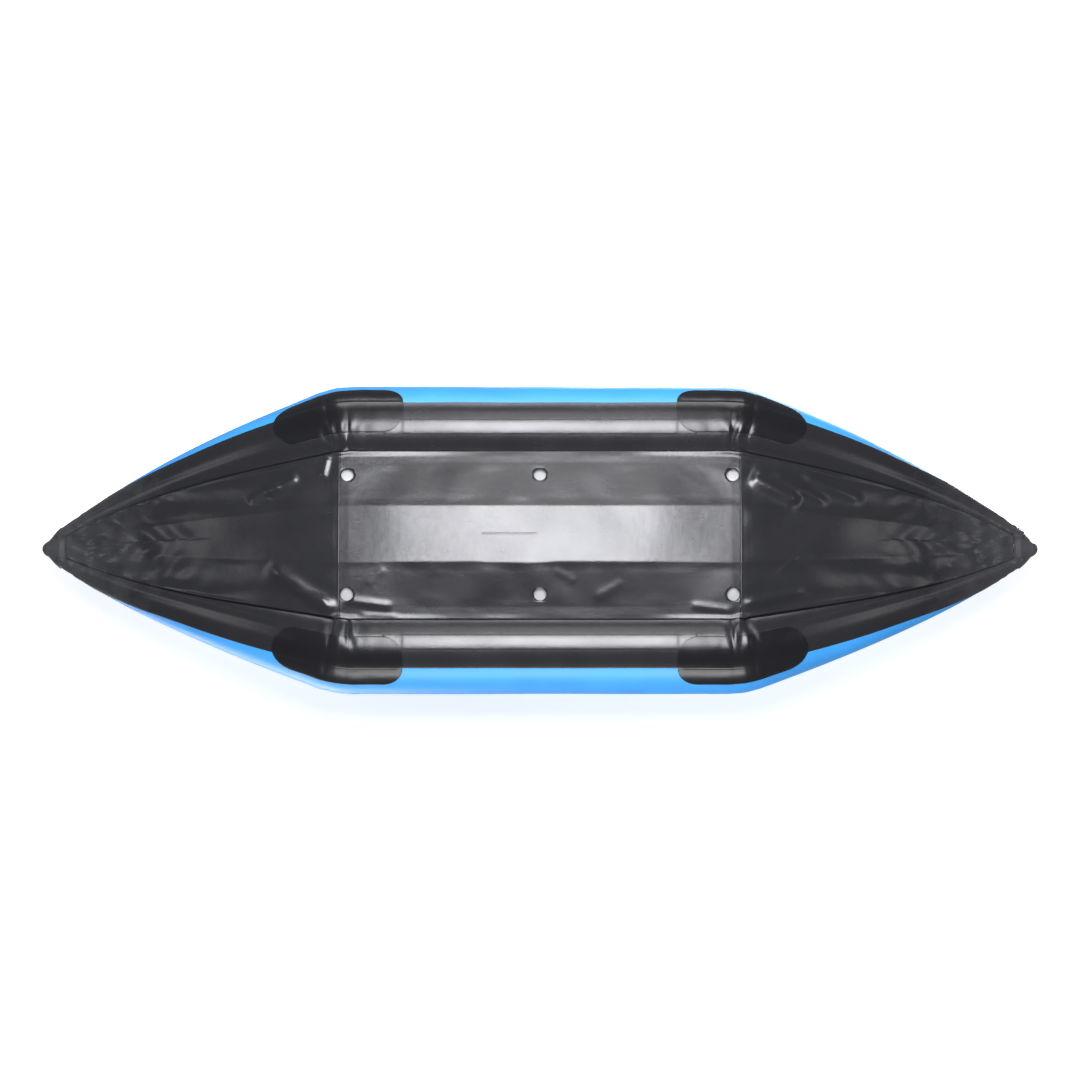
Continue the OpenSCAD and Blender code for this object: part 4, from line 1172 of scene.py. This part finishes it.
def ring_mounts():
    """Round patches and the folded webbing that holds each ring."""
    r = np.concatenate([[0.0005], np.linspace(0.006, 0.0365, 12), [0.0378, 0.0380]])
    r = np.concatenate([r, r[::-1]])[:, None]
    lift = np.concatenate([np.full(13, 0.0013), [0.0011, 0.0005], np.full(15, -0.0004)])[:, None]
    a = circle(72)[None, :]
    rings = stack(r * np.cos(a), r * np.sin(a), lift + tube_drop(r * np.sin(a)))
    disc = loft(rings, rings[..., :2])
    # The lower layer follows the tube's curve, turns round the wire and is sewn down on itself.
    r_loop = RING_WIRE + 0.0003 + 0.0008
    low, high = RING_Z - r_loop, RING_Z + r_loop
    under_y, over_y = np.linspace(0.024, 0.002, 14), np.linspace(0.003, 0.024, 14)
    turn = arc((0, RING_Z), r_loop, 270, 90, 18)
    over_z = lerp(high, low + 0.0017, smooth(0.0, 0.014, over_y)) + tube_drop(over_y)
    band = ribbon(np.concatenate([stack(0, under_y, low + tube_drop(under_y)), stack(0, turn[:, 0], turn[:, 1]),
                                  stack(0, over_y, over_z)]), (1, 0, 0), 0.030, 0.0015)
    rows = [stack(np.linspace(-0.012, 0.012, 10), y, low + 0.0026 - y * y / 2 / TUBE_R) for y in (0.013, 0.021)]
    places = [tube_matrix(*place) for place in ring_seats()]
    solid("ring_patch_discs", [moved(disc, m) for m in places], PATCH_BLACK, stands_for=["ring_patches"],
          slot="black_fabric")
    solid("ring_webbing", [moved(band, m) for m in places], TAPE, stands_for=["ring_loops"], slot="webbing")
    stitches("ring_webbing_stitches", [placed(row, m) for m in places for row in rows])


ANCHOR_X = 1.410
HANDLE_REACH = 0.074


def handle_matrix(way):
    """The handle's own frame: Y along its pins, X back towards the grip, Z up. Mirrored at the stern."""
    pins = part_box("handle_anchors")
    low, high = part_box("bow_handle_grip")
    pin_z = pins[1].z - 0.004
    grip = (low + high) / 2
    tilt = math.atan2(pin_z - grip.z, ANCHOR_X - grip.x)
    place = Matrix.Translation((ANCHOR_X, 0, pin_z)) @ Matrix.Rotation(-tilt, 4, "Y")
    return Matrix.Diagonal((way, 1, 1, 1)) @ place


def handles():
    anchor_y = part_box("handle_anchors")[1].y - 0.018
    parts, rows = [], []
    for side in (-1, 1):
        # From the grip, over the pin, round it and back underneath, where it is sewn
        y = side * anchor_y
        top_x = np.linspace(-HANDLE_REACH + 0.003, -0.002, 30)
        pin = arc((0, 0), 0.0036, 90, -90, 16)
        back_x = np.linspace(-0.003, -0.034, 16)
        path = np.concatenate([stack(top_x, y, 0.0010 + 0.0026 * smooth(-0.03, -0.002, top_x)),
                               stack(pin[:, 0], y, pin[:, 1]),
                               stack(back_x, y, -0.0036 + 0.0026 * smooth(-0.002, -0.02, back_x))])
        parts.append(ribbon(path, (0, 1, 0), 0.023, 0.0016))
        rows += [stack(x, y + np.linspace(-0.009, 0.009, 8), 0.0020) for x in (-0.032, -0.014)]
    # The webbing is rolled up where it runs through the grip.
    y = np.linspace(-anchor_y - 0.0115, anchor_y + 0.0115, 60)[:, None]
    a = circle(28)[None, :]
    rolled = 0.0046 - 0.0006 * (a / (2 * math.pi))
    rings = stack(-HANDLE_REACH + rolled * np.cos(a), y, rolled * np.sin(a))
    parts.append(loft(rings, stack(y, 0.0046 * a)))
    for end_name, way in ENDS:
        m = handle_matrix(way)
        body = end_name + "_handle"
        solid(body + "_webbing", [moved(part, m) for part in parts], TAPE, body=body, stands_for=[body + "_strap"],
              slot="webbing")
        stitches(body + "_stitches", [placed(row, m) for row in rows], body=body)
        lengthwise = m @ Matrix.Translation((-HANDLE_REACH, 0, 0)) @ Matrix.Rotation(math.pi / 2, 4, "X")
        solid(body + "_grip_sleeve", [moved(grip_sleeve(), lengthwise)], RUBBER, body=body,
              stands_for=[body + "_grip"], slot="black_rubber")


def grip_sleeve():
    """A soft grip with raised end collars, a waist and shallow ribs for the fingers. Hollow, for the webbing."""
    half, bore = 0.042, 0.0053
    z = np.linspace(-half, half, 120)
    waist = 0.0108 - 0.0008 * np.cos(math.pi * z / half)
    ribs = 0.0005 * (0.5 + 0.5 * np.cos(2 * math.pi * z / 0.0042)) * smooth(0.034, 0.030, np.abs(z))
    collar = 0.0011 * smooth(0.0365, 0.0375, np.abs(z)) * smooth(half, half - 0.0012, np.abs(z))
    radius = np.minimum(waist + ribs + collar, 0.012)
    radius[0] = radius[-1] = 0.0100
    profile = np.concatenate([stack(radius, z), [(0.0085, half), (bore, half - 0.0008), (bore, -half + 0.0008),
                                                 (0.0085, -half)]])
    r, z = profile[:, :1], profile[:, 1:]
    angle = circle(64)[None, :]
    rings = stack(r * np.cos(angle), r * np.sin(angle), z)
    return rings.reshape(-1, 3), ring_faces(len(profile), 64), stack(0.011 * angle, z).reshape(-1, 2)


# ---------- Valves ----------

VALVES = ("port", "starboard", "floor")
FLOOR_VALVE_FROM, FLOOR_VALVE_TO = 0.735, 0.8575


def valve_matrix(name):
    """The valve's own frame, with Z out of the fabric."""
    if name == "floor":
        bow_side, stern_side = (float(mattress_top(np.array(s))) for s in (FLOOR_VALVE_FROM, FLOOR_VALVE_TO))
        slope = math.atan2(stern_side - bow_side, FLOOR_VALVE_TO - FLOOR_VALVE_FROM)
        place = (-(FLOOR_VALVE_FROM + FLOOR_VALVE_TO) / 2, 0, (bow_side + stern_side) / 2)
        return Matrix.Translation(place) @ Matrix.Rotation(slope, 4, "Y")
    return tube_matrix(1 if name == "port" else -1, -0.518, -140)


CAP_TOP, CAP_LOW = 0.0100, 0.0069


def valve_caps():
    """Screw-look caps with a ribbed rim, a dished top and a tether strap to the hinge."""
    profile = [(0.0005, CAP_TOP - 0.0011), (0.012, CAP_TOP - 0.0010), (0.0140, CAP_TOP - 0.0002), (0.0185, CAP_TOP),
               (0.0208, CAP_TOP - 0.0003), (0.0216, CAP_TOP - 0.0010), (0.0218, CAP_LOW + 0.0006), (0.0212, CAP_LOW),
               (0.0141, CAP_LOW), (0.0139, 0.0036), (0.0130, 0.0033), (0.0005, 0.0033)]

    def rim(angle, r, z):
        on_rim = smooth(0.0205, 0.0214, r) * smooth(CAP_LOW, CAP_LOW + 0.0005, z)
        return 0.00035 * on_rim * np.sign(np.cos(36 * angle))

    tether = [(0.017, 0, CAP_TOP - 0.0016), (0.022, 0, CAP_TOP - 0.0012), (0.0262, 0, CAP_TOP - 0.0008)]
    barrel = turned([(0.00135, -0.0045), (0.0024, -0.0045), (0.0026, -0.0042), (0.0026, 0.0042), (0.0024, 0.0045),
                     (0.00135, 0.0045)], 24)
    eye = Matrix.Translation((0.029, 0, 0.0098)) @ Matrix.Rotation(math.pi / 2, 4, "X")
    pull = [(-0.020, 0, 0.0086), (-0.0245, 0, 0.0090), (-0.0275, 0, 0.0098)]
    parts = [turned(profile, 288, rim), ribbon(tether, (0, 1, 0), 0.0088, 0.0024), moved(barrel, eye),
             ribbon(pull, (0, 1, 0), 0.0090, 0.0020)]
    for name in VALVES:
        m = valve_matrix(name)
        solid(name + "_cap_cover", [moved(part, m) for part in parts], PLASTIC, body=name + "_valve_cap",
              stands_for=[name + "_valve_cap"], slot="black_plastic")


def valve_springs():
    """Coil springs under the poppets."""
    coil_r, wire, turns, travel = 0.0044, 0.0004, 3.5, 0.004
    for name in VALVES:
        m = valve_matrix(name)
        back = m.inverted()
        heights = [(back @ v.co).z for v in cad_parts[name + "_valve_spring"].data.vertices]
        low, high = min(heights), max(heights)
        t = np.linspace(0, 1, 150)
        rise = lerp(low + wire, high - wire, smooth(0, 1, t) * 0.35 + 0.65 * t)
        a = 2 * math.pi * turns * t
        path = stack(coil_r * np.cos(a), coil_r * np.sin(a), rise)
        spring = solid(name + "_coil_spring", [moved(rope_ring(path, wire, 8, closed=False), m)], STEEL,
                       stands_for=[name + "_valve_spring"], slot="steel")
        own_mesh(spring)


# ---------- Finishes of the frame's own pieces ----------

def finish_frame():
    finishes = (("ring", STEEL), ("spring", STEEL), ("poppet", POPPET), ("anchors", RUBBER), ("bosses", RUBBER),
                ("base", PLASTIC), ("nuts", PLASTIC), ("cap", PLASTIC), ("plug", PLASTIC), ("strap", TAPE_CAD),
                ("mattress", MATTRESS), ("patch", PATCH_BLACK))
    for name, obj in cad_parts.items():
        found = [m for word, m in finishes if word in name]
        if "ring_" in name:
            found = [PATCH_BLACK if "patch" in name else TAPE_CAD]
        if obj.hide_render or not found:
            continue
        for slot in obj.material_slots:
            slot.material = found[0]


# ---------- Stage ----------

def backless(name, color, strength):
    """Pale on its front, and not there from behind."""
    material, tree, surface = shader(name, color, 0.9)
    surface.inputs["Emission Color"].default_value = (1, 1, 1, 1)
    surface.inputs["Emission Strength"].default_value = strength
    side = node(tree, "NewGeometry").outputs["Backfacing"]
    clear = node(tree, "BsdfTransparent")
    mix = node(tree, "MixShader", {0: side, 1: surface.outputs[0], 2: clear.outputs[0]})
    tree.links.new(mix.outputs[0], tree.nodes["Material Output"].inputs["Surface"])
    return material


def stage_plane(name, z, up, size, material):
    """A plain sheet of the stage that casts no shadow and shows in no reflection."""
    corners = [(-size, -size, z), (size, -size, z), (size, size, z), (-size, size, z)]
    mesh = bpy.data.meshes.new(name)
    mesh.from_pydata(corners, [], [(0, 1, 2, 3) if up else (3, 2, 1, 0)])
    mesh.materials.append(material)
    obj = linked(name, mesh)
    obj.visible_shadow = obj.visible_diffuse = obj.visible_glossy = False


def soft_box(name, place, target, size, power, color=(1, 1, 1)):
    data = bpy.data.lights.new(name, "AREA")
    data.shape = "RECTANGLE"
    data.size, data.size_y = size
    data.energy = power
    data.color = color
    obj = linked(name, data)
    z = (Vector(place) - Vector(target)).normalized()
    x = Vector((1, 0, 0))
    x = (x - z * x.dot(z)).normalized()
    obj.matrix_world = Matrix.Translation(place) @ Matrix((x, z.cross(x), z)).transposed().to_4x4()
    obj.visible_camera = False


def studio():
    stage_plane("studio_floor", 0.0, True, 9.0, backless("studio_floor_paper", grey(0.8), 0.0))
    stage_plane("studio_back", 0.62, False, 14.0, backless("studio_back_paper", grey(0.8), 0.40))
    world = bpy.data.worlds.new("studio_air")
    bpy.context.scene.world = world
    world.use_nodes = True
    air = world.node_tree.nodes["Background"].inputs
    air["Color"].default_value = (0.95, 0.97, 1.0, 1)
    air["Strength"].default_value = 0.32
    bpy.context.scene.view_settings.view_transform = "Standard"
    # Below: two long boxes for the shine on the keel and the tubes' crowns, and two for the blue sides
    soft_box("keel_light", (0.03, -0.80, -5.0), (0.02, 0, 0), (1.86, 2.4), 338, (0.95, 0.96, 1.0))
    soft_box("keel_fill", (0.15, -3.2, -4.1), (0.05, 0, 0), (1.6, 1.8), 30)
    soft_box("starboard_side_light", (0, -4.2, -1.2), (0, 0, 0.15), (3.5, 1.2), 100)
    soft_box("port_side_light", (0, 4.2, -1.2), (0, 0, 0.15), (3.5, 1.2), 122)
    for way in (-1, 1):
        soft_box("tip_light", (5.0 * way, -0.4, -3.9), (1.45 * way, 0, 0.3), (1.2, 2.0), 17)
    # Above: a broad key and a fill for the cockpit
    soft_box("deck_key", (1.5, -2.2, 4.2), (0, 0, 0.2), (3.0, 2.0), 220)
    soft_box("deck_fill", (-2.0, 3.0, 3.5), (0, 0, 0.2), (3.0, 2.0), 110)


def camera():
    distance, tilt, view_width = 16.0, math.radians(7.5), 3.318
    data = bpy.data.cameras.new("underside_camera")
    data.lens_unit = "FOV"
    data.angle = 2 * math.atan(view_width / 2 / distance)
    data.clip_end = 60
    obj = linked("underside_camera", data)
    bpy.context.scene.camera = obj
    back = Vector((0, math.sin(tilt), -math.cos(tilt)))
    right = Vector((1, 0, 0))
    obj.matrix_world = (Matrix.Translation(Vector((0, 0, TUBE_Z)) + back * distance)
                        @ Matrix((right, back.cross(right), back)).transposed().to_4x4())


for build in (side_tubes, wear_panels, patches, floor_skins, tip_caps, mattress, seat_pad, back_pad, foot_bolster,
              straps, strap_tabs, ring_mounts, handles, valve_caps, valve_springs, finish_frame, studio, camera):
    build()
